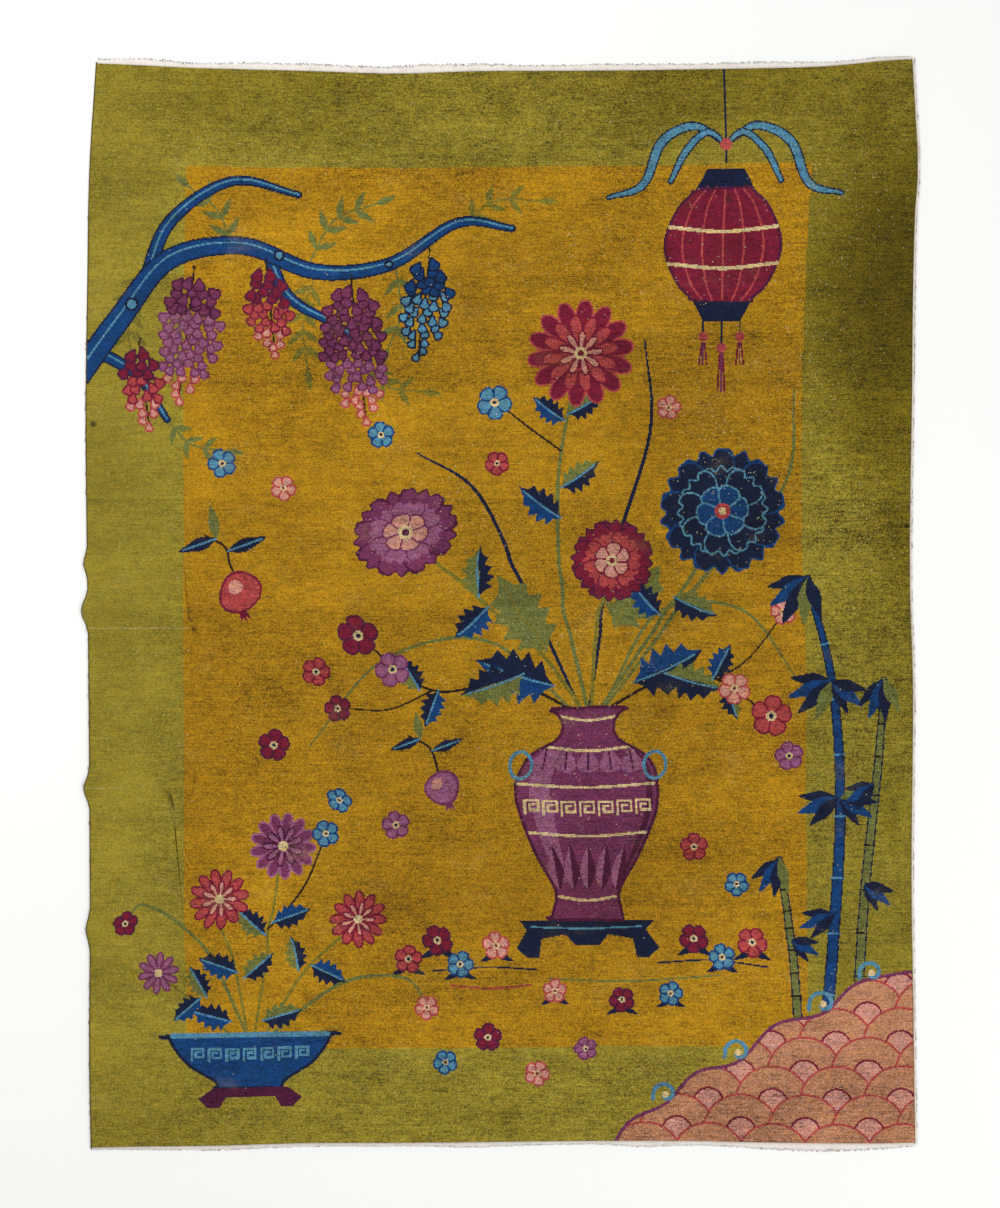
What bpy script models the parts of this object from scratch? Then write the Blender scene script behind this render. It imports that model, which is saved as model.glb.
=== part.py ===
"""Hand-knotted wool rug with a plain border, lying pile up on a floor.

Metres, +Z up. The origin is under the middle of the rug, on the floor. +X runs to the rug's right and
+Y to its upper end. The rug is knotted in one piece on cotton warps, so it is one solid. Its warps run
out at each end into a narrow woven web with frayed ends, and each long side has an overcast selvedge.
"""

import math
import random
from collections import namedtuple

import bmesh
import bpy
from mathutils import Vector
from mathutils.geometry import delaunay_2d_cdt

# Driving sizes
RUG_WIDTH = 2.69
PILE_LENGTH = 3.503
PILE_THICKNESS = 0.010
PILE_EDGE_ROUND = 0.0030
PARTING = 0.0003
MM = 0.001
WOOL_GOLD = (0.33, 0.17, 0.015)
COTTON_WHITE = (0.72, 0.67, 0.60)
OVERCAST_CREAM = (0.66, 0.58, 0.46)

# Each edge as it was woven and stretched: share of its run, and how far out of true it lies, in mm.
# The long sides are read from the lower end up, and the ends from left to right.
Bow = namedtuple("Bow", "share out_mm")
LEFT_SIDE = [
    Bow(0.00, -10), Bow(0.08, -5), Bow(0.22, -7), Bow(0.45, -2),
    Bow(0.67, 7), Bow(0.80, 1), Bow(0.90, -5), Bow(1.00, -27),
]
RIGHT_SIDE = [
    Bow(0.00, 9), Bow(0.12, 3), Bow(0.25, -3), Bow(0.42, 2), Bow(0.50, -7), Bow(0.57, -8),
    Bow(0.69, -1), Bow(0.78, 2), Bow(0.86, 9), Bow(0.90, 19), Bow(0.95, 10), Bow(1.00, 0),
]
UPPER_END = [
    Bow(0.00, 24), Bow(0.05, 18), Bow(0.12, 9), Bow(0.26, -1), Bow(0.37, -10), Bow(0.46, -2),
    Bow(0.62, 0), Bow(0.75, 5), Bow(0.84, 9), Bow(0.90, 15), Bow(0.96, 31), Bow(1.00, 38),
]
LOWER_END = [
    Bow(0.00, 16), Bow(0.06, 12), Bow(0.14, 10), Bow(0.26, 1), Bow(0.38, 0),
    Bow(0.60, -6), Bow(0.74, -6), Bow(0.80, -2), Bow(0.95, 2), Bow(1.00, -1),
]

# The slack left side stands out in small points, each at the end of a low pucker in the rug.
Pucker = namedtuple("Pucker", "share out_mm half_span reach rise_mm")
LEFT_PUCKERS = [
    Pucker(0.201, 13, 0.070, 0.20, 3.0),
    Pucker(0.331, 19, 0.065, 0.26, 4.5),
    Pucker(0.495, 22, 0.070, 0.30, 5.0),
    Pucker(0.539, 12, 0.055, 0.16, 3.0),
]

# Low ridges where the rug doesn't lie quite flat. A turn of 0 runs along X.
Ripple = namedtuple("Ripple", "x y half_length half_width turn_deg rise_mm")
RIPPLES = [
    Ripple(0.058, -1.66, 0.080, 0.035, 59, 3.5),
    Ripple(0.653, -1.70, 0.060, 0.035, 100, 3.0),
    Ripple(1.262, -0.65, 0.280, 0.050, 90, 3.5),
    Ripple(-0.932, 1.65, 0.110, 0.045, 82, 4.0),
    Ripple(0.010, 1.64, 0.140, 0.045, 90, 3.0),
    Ripple(1.222, 1.64, 0.150, 0.045, 88, 3.0),
]

# The woven web and its frayed ends: share of the width, and how far they reach past the pile, in mm.
Reach = namedtuple("Reach", "share reach_mm")
UPPER_REACH = [
    Reach(0.00, 11), Reach(0.05, 26), Reach(0.12, 18), Reach(0.19, 25), Reach(0.36, 25), Reach(0.39, 32),
    Reach(0.47, 27), Reach(0.55, 20), Reach(0.62, 25), Reach(0.75, 22), Reach(0.84, 24), Reach(0.91, 14),
    Reach(0.97, 16), Reach(1.00, 8),
]
LOWER_REACH = [
    Reach(0.00, 6), Reach(0.06, 12), Reach(0.15, 17), Reach(0.22, 14), Reach(0.30, 13), Reach(0.44, 15),
    Reach(0.47, 21), Reach(0.51, 15), Reach(0.62, 13), Reach(0.68, 22), Reach(0.72, 16), Reach(0.79, 19),
    Reach(0.84, 26), Reach(0.90, 27), Reach(0.96, 21), Reach(1.00, 10),
]
WEB_THICKNESS = 0.0024
WOVEN_SHARE = 0.66

# The locks of frayed warp, each as a least and a most share: of a lock's spacing for its half width at
# the root, of that for its half width at the tip, and of the frayed depth for its length.
LOCKS_AN_END = 110
LOCK_ROOT = (0.24, 0.34)
LOCK_TIP = (0.25, 0.60)
LOCK_LENGTH = (0.7, 1.3)
LOCK_DRIFT = 0.12
LOCK_LEAN = 0.3
LOCK_TIP_THICKNESS = 0.0011
LOCK_SEED = 31

# The overcast selvedges, as a width and a height beside the pile's side.
Selvedge = namedtuple("Selvedge", "width height")
LEFT_SELVEDGE = Selvedge(0.0045, 0.0050)
RIGHT_SELVEDGE = Selvedge(0.0085, 0.0060)
SELVEDGE_SECTION = [(0, 0), (0, 0.85), (0.22, 1), (0.62, 0.95), (0.95, 0.62), (1, 0.28), (0.88, 0)]
SELVEDGE_RUN_PAST = 0.007

# How finely the solids follow the shape
SIDE_STEPS = 36
END_STEPS = 28
INNER_COLUMNS = 20
INNER_ROWS = 27
PUCKER_STEPS = (-1, -0.6, -0.3, 0, 0.3, 0.6, 1)
RIPPLE_ALONG = (-1, -0.7, -0.4, 0, 0.4, 0.7, 1)
RIPPLE_ACROSS = (-1, -0.5, 0, 0.5, 1)
NEAREST_POINTS = 0.016
NEAREST_ON_SIDE = 0.008
NEAREST_TO_EDGE = 0.022
SAME_POINT = 0.00001


def read_curve(rows, share):
    """The value of a smooth curve through rows of (share, value)."""
    last = len(rows) - 1
    i = min(max(k for k, row in enumerate(rows) if row[0] <= share), last - 1)
    (start, low), (stop, high) = rows[i], rows[i + 1]
    before, after = rows[max(i - 1, 0)], rows[min(i + 2, last)]
    span = stop - start
    leave = span * (high - before[1]) / (stop - before[0])
    arrive = span * (after[1] - low) / (after[0] - start)
    t = (share - start) / span
    return (
        low * (2 * t**3 - 3 * t**2 + 1)
        + leave * (t**3 - 2 * t**2 + t)
        + high * (3 * t**2 - 2 * t**3)
        + arrive * (t**3 - t**2)
    )


def bell(t):
    """1 at 0, falling smoothly to 0 at -1 and 1."""
    return math.cos(math.pi * t / 2) ** 2 if abs(t) < 1 else 0.0


def clear_scene():
    for obj in list(bpy.data.objects):
        bpy.data.objects.remove(obj, do_unlink=True)


def cloth_material(name, colour, roughness):
    material = bpy.data.materials.new(name)
    material.use_nodes = True
    shader = material.node_tree.nodes["Principled BSDF"]
    shader.inputs["Base Color"].default_value = (*colour, 1)
    shader.inputs["Roughness"].default_value = roughness
    shader.inputs["Metallic"].default_value = 0
    return material


def add_object(name, shape, material):
    """Makes an object of a bmesh, with its faces turned outwards."""
    bmesh.ops.recalc_face_normals(shape, faces=shape.faces)
    mesh = bpy.data.meshes.new(name)
    shape.to_mesh(mesh)
    shape.free()
    mesh.materials.append(material)
    obj = bpy.data.objects.new(name, mesh)
    bpy.context.scene.collection.objects.link(obj)
    return obj


def left_out(up):
    """How far the left side lies out of true at a share of the length, with its puckers, in metres."""
    out = read_curve(LEFT_SIDE, up)
    for pucker in LEFT_PUCKERS:
        out += pucker.out_mm * bell((up - pucker.share) * PILE_LENGTH / pucker.half_span)
    return out * MM


def on_rug(across, up):
    """The plan point at a share of the width and of the length."""
    left = -RUG_WIDTH / 2 - left_out(up)
    right = RUG_WIDTH / 2 + read_curve(RIGHT_SIDE, up) * MM
    low = -PILE_LENGTH / 2 - read_curve(LOWER_END, across) * MM
    high = PILE_LENGTH / 2 + read_curve(UPPER_END, across) * MM
    return left + (right - left) * across, low + (high - low) * up


def all_ripples():
    """The ripples, with one along each pucker that starts at the left side."""
    found = list(RIPPLES)
    for pucker in LEFT_PUCKERS:
        x, y = on_rug(0, pucker.share)
        found.append(Ripple(x, y, pucker.reach, pucker.half_span, 0, pucker.rise_mm))
    return found


def lift_at(x, y, ripples):
    """How far the rug is raised off the floor at a plan point."""
    lift = 0.0
    for ripple in ripples:
        turn = math.radians(ripple.turn_deg)
        dx, dy = x - ripple.x, y - ripple.y
        along = dx * math.cos(turn) + dy * math.sin(turn)
        across = dy * math.cos(turn) - dx * math.sin(turn)
        lift += ripple.rise_mm * MM * bell(along / ripple.half_length) * bell(across / ripple.half_width)
    return lift


def spaced(values, least):
    """The values in order, without any that lies closer than least to the one before it."""
    kept = []
    for value in sorted(values):
        if not kept or value - kept[-1] >= least:
            kept.append(value)
    return kept


def side_shares():
    """Where the long sides have their points: evenly, and closer along each pucker."""
    shares = [i / SIDE_STEPS for i in range(1, SIDE_STEPS)]
    for pucker in LEFT_PUCKERS:
        span = pucker.half_span / PILE_LENGTH
        shares = [s for s in shares if abs(s - pucker.share) > span]
        shares += [pucker.share + span * step for step in PUCKER_STEPS]
    return [0.0, *spaced(shares, NEAREST_ON_SIDE / PILE_LENGTH), 1.0]


def end_shares():
    return [i / END_STEPS for i in range(END_STEPS + 1)]


def outline_points():
    """The rug's outline in plan, anticlockwise from its lower left corner."""
    sides, ends = side_shares(), end_shares()
    points = [on_rug(s, 0) for s in ends[:-1]]
    points += [on_rug(1, s) for s in sides[:-1]]
    points += [on_rug(s, 1) for s in reversed(ends[1:])]
    points += [on_rug(0, s) for s in reversed(sides[1:])]
    return points


def inner_points(outline, ripples):
    """Points inside the outline: close over the ripples, and an even grid elsewhere."""
    wanted = []
    for ripple in ripples:
        turn = math.radians(ripple.turn_deg)
        for across in RIPPLE_ACROSS:
            for along in RIPPLE_ALONG:
                a, b = along * ripple.half_length, across * ripple.half_width
                x = ripple.x + a * math.cos(turn) - b * math.sin(turn)
                y = ripple.y + a * math.sin(turn) + b * math.cos(turn)
                wanted.append((x, y))
    for i in range(1, INNER_COLUMNS):
        wanted += [on_rug(i / INNER_COLUMNS, j / INNER_ROWS) for j in range(1, INNER_ROWS)]
    kept = []
    for x, y in wanted:
        inside = abs(x) < RUG_WIDTH / 2 and abs(y) < PILE_LENGTH / 2
        clear = all(math.dist((x, y), p) > NEAREST_POINTS for p in kept)
        if inside and clear and all(math.dist((x, y), p) > NEAREST_TO_EDGE for p in outline):
            kept.append((x, y))
    return kept


def make_rug(ripples, material):
    """The knotted rug: one sheet with its cut pile rounded over along the rim."""
    outline = outline_points()
    plan = [Vector(p) for p in outline + inner_points(outline, ripples)]
    loop = list(range(len(outline)))
    points, _, faces, *_ = delaunay_2d_cdt(plan, [], [loop], 1, SAME_POINT)
    shape = bmesh.new()
    below = [shape.verts.new((p.x, p.y, lift_at(p.x, p.y, ripples))) for p in points]
    under = [shape.faces.new([below[i] for i in reversed(face)]) for face in faces]
    raised = bmesh.ops.extrude_face_region(shape, geom=under, use_keep_orig=True)["geom"]
    above = [e for e in raised if isinstance(e, bmesh.types.BMVert)]
    bmesh.ops.translate(shape, verts=above, vec=(0, 0, PILE_THICKNESS))
    top = {e for e in raised if isinstance(e, bmesh.types.BMFace)}
    rim = [e for e in shape.edges if sum(face in top for face in e.link_faces) == 1]
    bmesh.ops.bevel(
        shape, geom=rim, offset=PILE_EDGE_ROUND, segments=2, profile=0.5, affect="EDGES"
    )
    return add_object("knotted_rug", shape, material)


def make_end_web(name, up, outwards, reach, ripples, material):
    """The woven web past one end of the pile, with the locks of frayed warp on its outer edge."""
    chance = random.Random(LOCK_SEED + up)

    def placed(across, out, z):
        x, y = on_rug(across, up)
        return Vector((x, y + outwards * (PARTING + out), z + lift_at(x, y, ripples)))

    shape = bmesh.new()
    edge, locks = [], []
    for i in range(LOCKS_AN_END):
        middle = (i + 0.5 + chance.uniform(-LOCK_DRIFT, LOCK_DRIFT)) / LOCKS_AN_END
        root = chance.uniform(*LOCK_ROOT) / LOCKS_AN_END
        tip = root * chance.uniform(*LOCK_TIP)
        lean = root * chance.uniform(-LOCK_LEAN, LOCK_LEAN)
        full = read_curve(reach, middle) * MM
        woven = full * WOVEN_SHARE
        length = (full - woven) * chance.uniform(*LOCK_LENGTH)
        corners = [
            (middle - root, woven), (middle + lean - tip, woven + length),
            (middle + lean + tip, woven + length), (middle + root, woven),
        ]
        edge += corners[::3]
        locks.append(corners)
    rooted = [(share, 0) for share in end_shares()]
    left_end, right_end = ((side, read_curve(reach, side) * MM * WOVEN_SHARE) for side in (0, 1))
    strip = [*rooted, right_end, *reversed(edge), left_end]

    def layer(z, tip_z):
        """One face of the web with one for each lock."""
        known = {corner: shape.verts.new(placed(*corner, z)) for corner in strip}
        shape.faces.new([known[corner] for corner in strip])
        for corners in locks:
            for corner in corners[1:3]:
                known[corner] = shape.verts.new(placed(*corner, tip_z))
            shape.faces.new([known[corner] for corner in corners])
        return known

    under = layer(0, 0)
    over = layer(WEB_THICKNESS, LOCK_TIP_THICKNESS)
    around = [*rooted, right_end]
    for corners in reversed(locks):
        around += corners[::-1]
    around.append(left_end)
    for here, there in zip(around, around[1:] + around[:1]):
        shape.faces.new([under[here], under[there], over[there], over[here]])
    return add_object(name, shape, material)


def make_selvedge(name, side, size, ripples, material):
    """The overcast cord beside one long side. side is 0 on the left and 1 on the right."""
    outwards = 2 * side - 1
    stations = [on_rug(side, share) for share in side_shares()]
    (low_x, low_y), (high_x, high_y) = stations[0], stations[-1]
    stations = [
        (low_x, low_y - SELVEDGE_RUN_PAST), *stations, (high_x, high_y + SELVEDGE_RUN_PAST),
    ]
    shape = bmesh.new()
    rings = []
    for x, y in stations:
        lift = lift_at(x, y, ripples)
        ring = []
        for out, rise in SELVEDGE_SECTION:
            reach = outwards * (PARTING + out * size.width)
            ring.append(shape.verts.new((x + reach, y, lift + rise * size.height)))
        rings.append(ring)
    for ring, following in zip(rings, rings[1:]):
        for i in range(len(ring)):
            j = (i + 1) % len(ring)
            shape.faces.new([ring[i], ring[j], following[j], following[i]])
    shape.faces.new(rings[0])
    shape.faces.new(rings[-1][::-1])
    return add_object(name, shape, material)


def main():
    clear_scene()
    wool = cloth_material("wool_pile", WOOL_GOLD, 0.95)
    cotton = cloth_material("cotton_warp", COTTON_WHITE, 0.9)
    overcast = cloth_material("overcast_cotton", OVERCAST_CREAM, 0.9)
    ripples = all_ripples()
    make_rug(ripples, wool)
    make_end_web("end_web_upper", 1, 1, UPPER_REACH, ripples, cotton)
    make_end_web("end_web_lower", 0, -1, LOWER_REACH, ripples, cotton)
    make_selvedge("selvedge_left", 0, LEFT_SELVEDGE, ripples, overcast)
    make_selvedge("selvedge_right", 1, RIGHT_SELVEDGE, ripples, overcast)


main()
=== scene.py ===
"""The looks of a hand-knotted wool rug with a plain border, lying pile up on a pale floor."""

import math
import random
from collections import namedtuple

import bpy
import numpy as np
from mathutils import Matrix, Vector
from mathutils.bvhtree import BVHTree
from mathutils.geometry import delaunay_2d_cdt


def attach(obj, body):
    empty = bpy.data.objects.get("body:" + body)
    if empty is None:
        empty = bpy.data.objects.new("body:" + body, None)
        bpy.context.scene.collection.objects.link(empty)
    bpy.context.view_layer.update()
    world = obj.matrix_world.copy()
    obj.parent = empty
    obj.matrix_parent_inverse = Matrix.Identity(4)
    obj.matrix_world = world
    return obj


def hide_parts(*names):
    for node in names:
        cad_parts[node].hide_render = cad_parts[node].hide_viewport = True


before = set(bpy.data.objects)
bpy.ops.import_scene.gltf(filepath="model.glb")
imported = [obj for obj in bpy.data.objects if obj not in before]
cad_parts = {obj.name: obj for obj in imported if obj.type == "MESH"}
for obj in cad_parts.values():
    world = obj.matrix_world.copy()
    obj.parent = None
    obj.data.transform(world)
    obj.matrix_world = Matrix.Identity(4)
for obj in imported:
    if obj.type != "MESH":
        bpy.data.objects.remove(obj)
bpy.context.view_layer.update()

# THE KNOTTED RUG
# Dyed wool is knotted row by row round cotton warps and sheared to an even cut pile. The border, the field
# and the design are one cloth. It has stretched out of true, so its edges bow and its left side puckers.
# Its plan and its lift off the floor are read here from the frame, and are used again by the edges.
MM = 0.001
WELL_OUTSIDE = 3.0
RAY_HEIGHT = 6.5 * MM
OUTLINE_READINGS = 700
FROM_CORNER = 1.5 * MM
PLAN_PASSES = 4
LIFT_COLUMNS = 110
LIFT_ROWS = 140
LIFT_INSET = 2 * MM
LIFT_SMOOTHING = 2
NEARLY_ONE = 0.99999


def frame_points(node):
    """The points of a node in the frame."""
    return np.array([vertex.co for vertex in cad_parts[node].data.vertices])


frame_plan = frame_points("knotted_rug")[:, :2]
frame_faces = [tuple(face.vertices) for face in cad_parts["knotted_rug"].data.polygons]
frame_tree = BVHTree.FromPolygons(frame_points("knotted_rug").tolist(), frame_faces)
PILE_HEIGHT = float(frame_tree.ray_cast(Vector((0, 0, 1)), Vector((0, 0, -1)))[0].z)


def frame_edge(axis, side):
    """The rug's outline along one edge, as readings and how far out each lies. axis is the one it faces."""
    along = 1 - axis
    towards = Vector((0, 0, 0))
    towards[axis] = -side
    outermost = [side * frame_plan[:, axis] + end * frame_plan[:, along] for end in (-1, 1)]
    corners = [frame_plan[np.argmax(reach)] for reach in outermost]
    first, last = corners[0][along] + FROM_CORNER, corners[1][along] - FROM_CORNER
    readings = np.linspace(first, last, OUTLINE_READINGS)
    found = []
    for reading in readings:
        start = Vector((0, 0, RAY_HEIGHT))
        start[along] = reading
        start[axis] = side * WELL_OUTSIDE
        found.append(frame_tree.ray_cast(start, towards)[0][axis])
    return readings, np.array(found)


LEFT, RIGHT = frame_edge(0, -1), frame_edge(0, 1)
LOW, HIGH = frame_edge(1, -1), frame_edge(1, 1)


def on_plan(across, up, inset=0.0):
    """The plan points at shares of the rug's width and length, between edges drawn in by inset."""
    across, up = np.asarray(across, float), np.asarray(up, float)
    x = LEFT[1].mean() + across * (RIGHT[1].mean() - LEFT[1].mean())
    for _ in range(PLAN_PASSES):
        low, high = np.interp(x, *LOW) + inset, np.interp(x, *HIGH) - inset
        y = low + up * (high - low)
        left, right = np.interp(y, *LEFT) + inset, np.interp(y, *RIGHT) - inset
        x = left + across * (right - left)
    return x, y


def read_lifts():
    """How far the underside lies off the floor, on an even grid of shares of the width and length."""
    lifts = np.zeros((LIFT_ROWS, LIFT_COLUMNS))
    for row, up in enumerate(np.linspace(0, 1, LIFT_ROWS)):
        xs, ys = on_plan(np.linspace(0, 1, LIFT_COLUMNS), np.full(LIFT_COLUMNS, up), LIFT_INSET)
        for column, (x, y) in enumerate(zip(xs, ys)):
            lifts[row, column] = frame_tree.ray_cast(Vector((x, y, -1)), Vector((0, 0, 1)))[0].z
    # Each pass smooths down the columns and turns the grid over, so two passes smooth it both ways.
    for _ in range(2 * LIFT_SMOOTHING):
        padded = np.pad(lifts, [(1, 1), (0, 0)], mode="edge")
        lifts = ((padded[:-2] + 2 * lifts + padded[2:]) / 4).T
    return lifts


LIFTS = read_lifts()


def lift_at(across, up):
    """The lift off the floor at shares of the width and length."""
    column = np.clip(across, 0, NEARLY_ONE) * (LIFT_COLUMNS - 1)
    row = np.clip(up, 0, NEARLY_ONE) * (LIFT_ROWS - 1)
    i, j = np.asarray(row, int), np.asarray(column, int)
    s, t = row - i, column - j
    lower = LIFTS[i, j] * (1 - t) + LIFTS[i, j + 1] * t
    upper = LIFTS[i + 1, j] * (1 - t) + LIFTS[i + 1, j + 1] * t
    return lower * (1 - s) + upper * s


# The design is knotted from a chart with one square for each knot. Its drawing is in centimetres, and the
# half width of its thinnest line is in knots.
KNOTS_ACROSS = 790
KNOTS_ALONG = 1030
DRAWN_WIDTH = 269.0
DRAWN_LENGTH = 350.3
KNOTS_A_CM = np.array([KNOTS_ACROSS / DRAWN_WIDTH, KNOTS_ALONG / DRAWN_LENGTH])
VEIN_WIDTH = 0.6
THINNEST_HALF = 0.5
TINY = 1e-9

# The dyed wools, as red, green and blue of 255
DYES = {
    "olive": (139, 124, 38),
    "gold": (161, 118, 14),
    "navy": (14, 24, 52),
    "blue": (10, 56, 106),
    "sky": (74, 124, 148),
    "plum": (108, 46, 80),
    "dark_plum": (72, 20, 50),
    "mauve": (138, 82, 112),
    "wine": (112, 20, 46),
    "coral": (162, 62, 62),
    "pink": (190, 132, 116),
    "salmon": (174, 120, 88),
    "sage": (100, 104, 50),
    "moss": (112, 104, 34),
    "ink": (32, 22, 20),
    "ivory": (196, 172, 124),
}
DYE_NUMBER = {name: number for number, name in enumerate(DYES)}


def smooth(points, closed=False, steps=8):
    """Points along a smooth curve through the given ones."""
    p = np.asarray(points, float)
    if closed:
        before, here, there, after = p[np.arange(-1, len(p) - 1)], p, np.roll(p, -1, 0), np.roll(p, -2, 0)
    else:
        run = np.vstack([2 * p[0] - p[1], p, 2 * p[-1] - p[-2]])
        before, here, there, after = run[:-3], run[1:-2], run[2:-1], run[3:]
    t = (np.arange(steps) / steps)[None, :, None]
    before, here, there, after = (q[:, None, :] for q in (before, here, there, after))
    bend = 2 * before - 5 * here + 4 * there - after
    curl = 3 * here - before - 3 * there + after
    curve = (here + ((there - before) * t + bend * t**2 + curl * t**3) / 2).reshape(-1, p.shape[1])
    return curve if closed else np.vstack([curve, p[-1]])


class Chart:
    """The dye of each knot, lowest row first."""

    def __init__(self, dye):
        self.knots = np.full((KNOTS_ALONG, KNOTS_ACROSS), DYE_NUMBER[dye], np.uint8)

    def window(self, low, high):
        """The middles of the knots between two corners, and those knots themselves."""
        x0, y0 = np.maximum(np.floor(low).astype(int), 0)
        x1, y1 = np.maximum(np.ceil(high).astype(int) + 1, 0)
        knots = self.knots[y0:y1, x0:x1]
        x = x0 + np.arange(knots.shape[1]) + 0.5
        y = y0 + np.arange(knots.shape[0])[:, None] + 0.5
        return x, y, knots

    def fill(self, points, dye):
        """Knots a closed shape in one dye."""
        p = np.asarray(points, float) * KNOTS_A_CM
        x, y, knots = self.window(p.min(0), p.max(0))
        inside = np.zeros(knots.shape, bool)
        for (x0, y0), (x1, y1) in zip(p, np.roll(p, -1, 0)):
            if y0 != y1:
                inside ^= ((y0 > y) != (y1 > y)) & (x < x0 + (y - y0) * (x1 - x0) / (y1 - y0))
        knots[inside] = DYE_NUMBER[dye]

    def line(self, points, width, dye, steps=8):
        """Knots a smooth line. width is one number, or one for each point."""
        widths = np.broadcast_to(np.asarray(width, float), len(points))
        path = smooth(np.column_stack([points, widths]), steps=steps)
        places = path[:, :2] * KNOTS_A_CM
        reaches = np.maximum(path[:, 2] * KNOTS_A_CM.mean() / 2, THINNEST_HALF)
        for here, there, reach in zip(places, places[1:], reaches):
            x, y, knots = self.window(np.minimum(here, there) - reach, np.maximum(here, there) + reach)
            dx, dy = there - here
            share = ((x - here[0]) * dx + (y - here[1]) * dy) / max(dx * dx + dy * dy, TINY)
            share = np.clip(share, 0, 1)
            away = np.hypot(x - here[0] - share * dx, y - here[1] - share * dy)
            knots[away <= reach] = DYE_NUMBER[dye]

    def rim(self, points, width, dye):
        """Knots a line round a closed shape whose points already lie close."""
        self.line(np.vstack([points[::2], points[:1]]), width, dye, steps=2)

    def dot(self, x, y, radius, dye):
        """Knots a disc."""
        self.line([(x, y), (x + 0.01, y)], 2 * radius, dye, steps=1)


chart = Chart("olive")

# Half outlines of a petal or leaf from its root, as (along, across) shares of its length
FRILLED = [(0, 0), (0.3, 0.2), (0.62, 0.42), (0.86, 0.42), (0.98, 0.26), (0.9, 0.13), (1.03, 0)]
ROUND = [(0, 0), (0.3, 0.22), (0.66, 0.42), (0.93, 0.3), (1, 0)]
SLIM = [(0, 0), (0.35, 0.1), (0.75, 0.16), (0.96, 0.1), (1.02, 0)]
LANCE = [(0, 0), (0.16, 0.1), (0.42, 0.17), (0.7, 0.11), (1, 0)]
TOOTHED = [
    (0, 0), (0.12, 0.1), (0.2, 0.27), (0.27, 0.16), (0.38, 0.33), (0.45, 0.19), (0.57, 0.31),
    (0.63, 0.16), (0.76, 0.22), (0.82, 0.09), (1, 0),
]


def whole(half):
    """A closed outline from the half of it that lies on one side."""
    return list(half) + [(along, -across) for along, across in half[-2:0:-1]]


def placed(points, x, y, turn, size=1.0, bend=0.0):
    """A motif's (along, across) points on the chart, headed turn degrees anticlockwise from the right."""
    c, s = math.cos(math.radians(turn)), math.sin(math.radians(turn))
    bent = [(along, across + bend * along * along) for along, across in points]
    return [(x + size * (a * c - b * s), y + size * (a * s + b * c)) for a, b in bent]


# A flower's rings of petals, outermost first, and the discs in its heart
Ring = namedtuple("Ring", "share petals shape dye edge")
Disc = namedtuple("Disc", "share dye")
FLOWERS = {
    "navy_peony": (
        [Ring(1, 9, FRILLED, "navy", "blue"), Ring(0.72, 8, FRILLED, "navy", "sky"),
         Ring(0.42, 6, ROUND, "blue", "sky")],
        [Disc(0.13, "coral"), Disc(0.06, "ivory")],
    ),
    "plum_peony": (
        [Ring(1, 9, FRILLED, "plum", "dark_plum"), Ring(0.74, 8, FRILLED, "mauve", "plum"),
         Ring(0.45, 6, ROUND, "pink", "plum")],
        [Disc(0.14, "ivory"), Disc(0.07, "dark_plum")],
    ),
    "coral_peony": (
        [Ring(1, 8, FRILLED, "wine", "dark_plum"), Ring(0.74, 7, FRILLED, "coral", "wine"),
         Ring(0.45, 6, ROUND, "pink", "wine")],
        [Disc(0.14, "ivory"), Disc(0.07, "wine")],
    ),
    "wine_daisy": (
        [Ring(1, 14, SLIM, "wine", "coral"), Ring(0.72, 12, SLIM, "coral", "wine"),
         Ring(0.42, 9, SLIM, "pink", "wine")],
        [Disc(0.12, "ivory"), Disc(0.06, "wine")],
    ),
    "plum_daisy": (
        [Ring(1, 13, SLIM, "plum", "mauve"), Ring(0.62, 9, SLIM, "mauve", "dark_plum")],
        [Disc(0.16, "ivory")],
    ),
    "coral_daisy": (
        [Ring(1, 12, SLIM, "coral", "wine"), Ring(0.6, 9, SLIM, "pink", "wine")],
        [Disc(0.16, "ivory")],
    ),
    "mauve_daisy": ([Ring(1, 10, SLIM, "mauve", "plum")], [Disc(0.2, "ivory")]),
}
# Small five-petalled blossoms go by the name of their dye.
Blossom = namedtuple("Blossom", "dye edge eye", defaults=("navy",))
for blossom in [
    Blossom("wine", "dark_plum"), Blossom("coral", "wine"), Blossom("mauve", "plum"),
    Blossom("pink", "coral", "wine"), Blossom("sky", "blue"),
]:
    petals = Ring(1, 5, ROUND, blossom.dye, blossom.edge)
    FLOWERS[blossom.dye] = ([petals], [Disc(0.26, "ivory"), Disc(0.12, blossom.eye)])
Bloom = namedtuple("Bloom", "kind x y radius turn squeeze", defaults=(90, 1))


def knot_bloom(bloom):
    """A flower. squeeze narrows it along its own heading, as if it were turned away."""
    rings, discs = FLOWERS[bloom.kind]
    facing = np.array([math.cos(math.radians(bloom.turn)), math.sin(math.radians(bloom.turn))])
    middle = np.array([bloom.x, bloom.y])
    for number, ring in enumerate(rings):
        for i in range(ring.petals):
            turn = bloom.turn + 360 * (i + number / 2) / ring.petals
            petal = np.array(placed(whole(ring.shape), 0, 0, turn, bloom.radius * ring.share))
            petal -= (1 - bloom.squeeze) * (petal @ facing)[:, None] * facing
            edge = smooth(petal + middle, closed=True, steps=6)
            chart.fill(edge, ring.dye)
            chart.rim(edge, VEIN_WIDTH, ring.edge)
    for disc in discs:
        chart.dot(bloom.x, bloom.y, bloom.radius * disc.share, disc.dye)


RIB = [(0, 0), (0.3, 0), (0.6, 0), (0.88, 0)]
Leaf = namedtuple("Leaf", "x y length turn half shape bend", defaults=(None, TOOTHED, 0))


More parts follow.
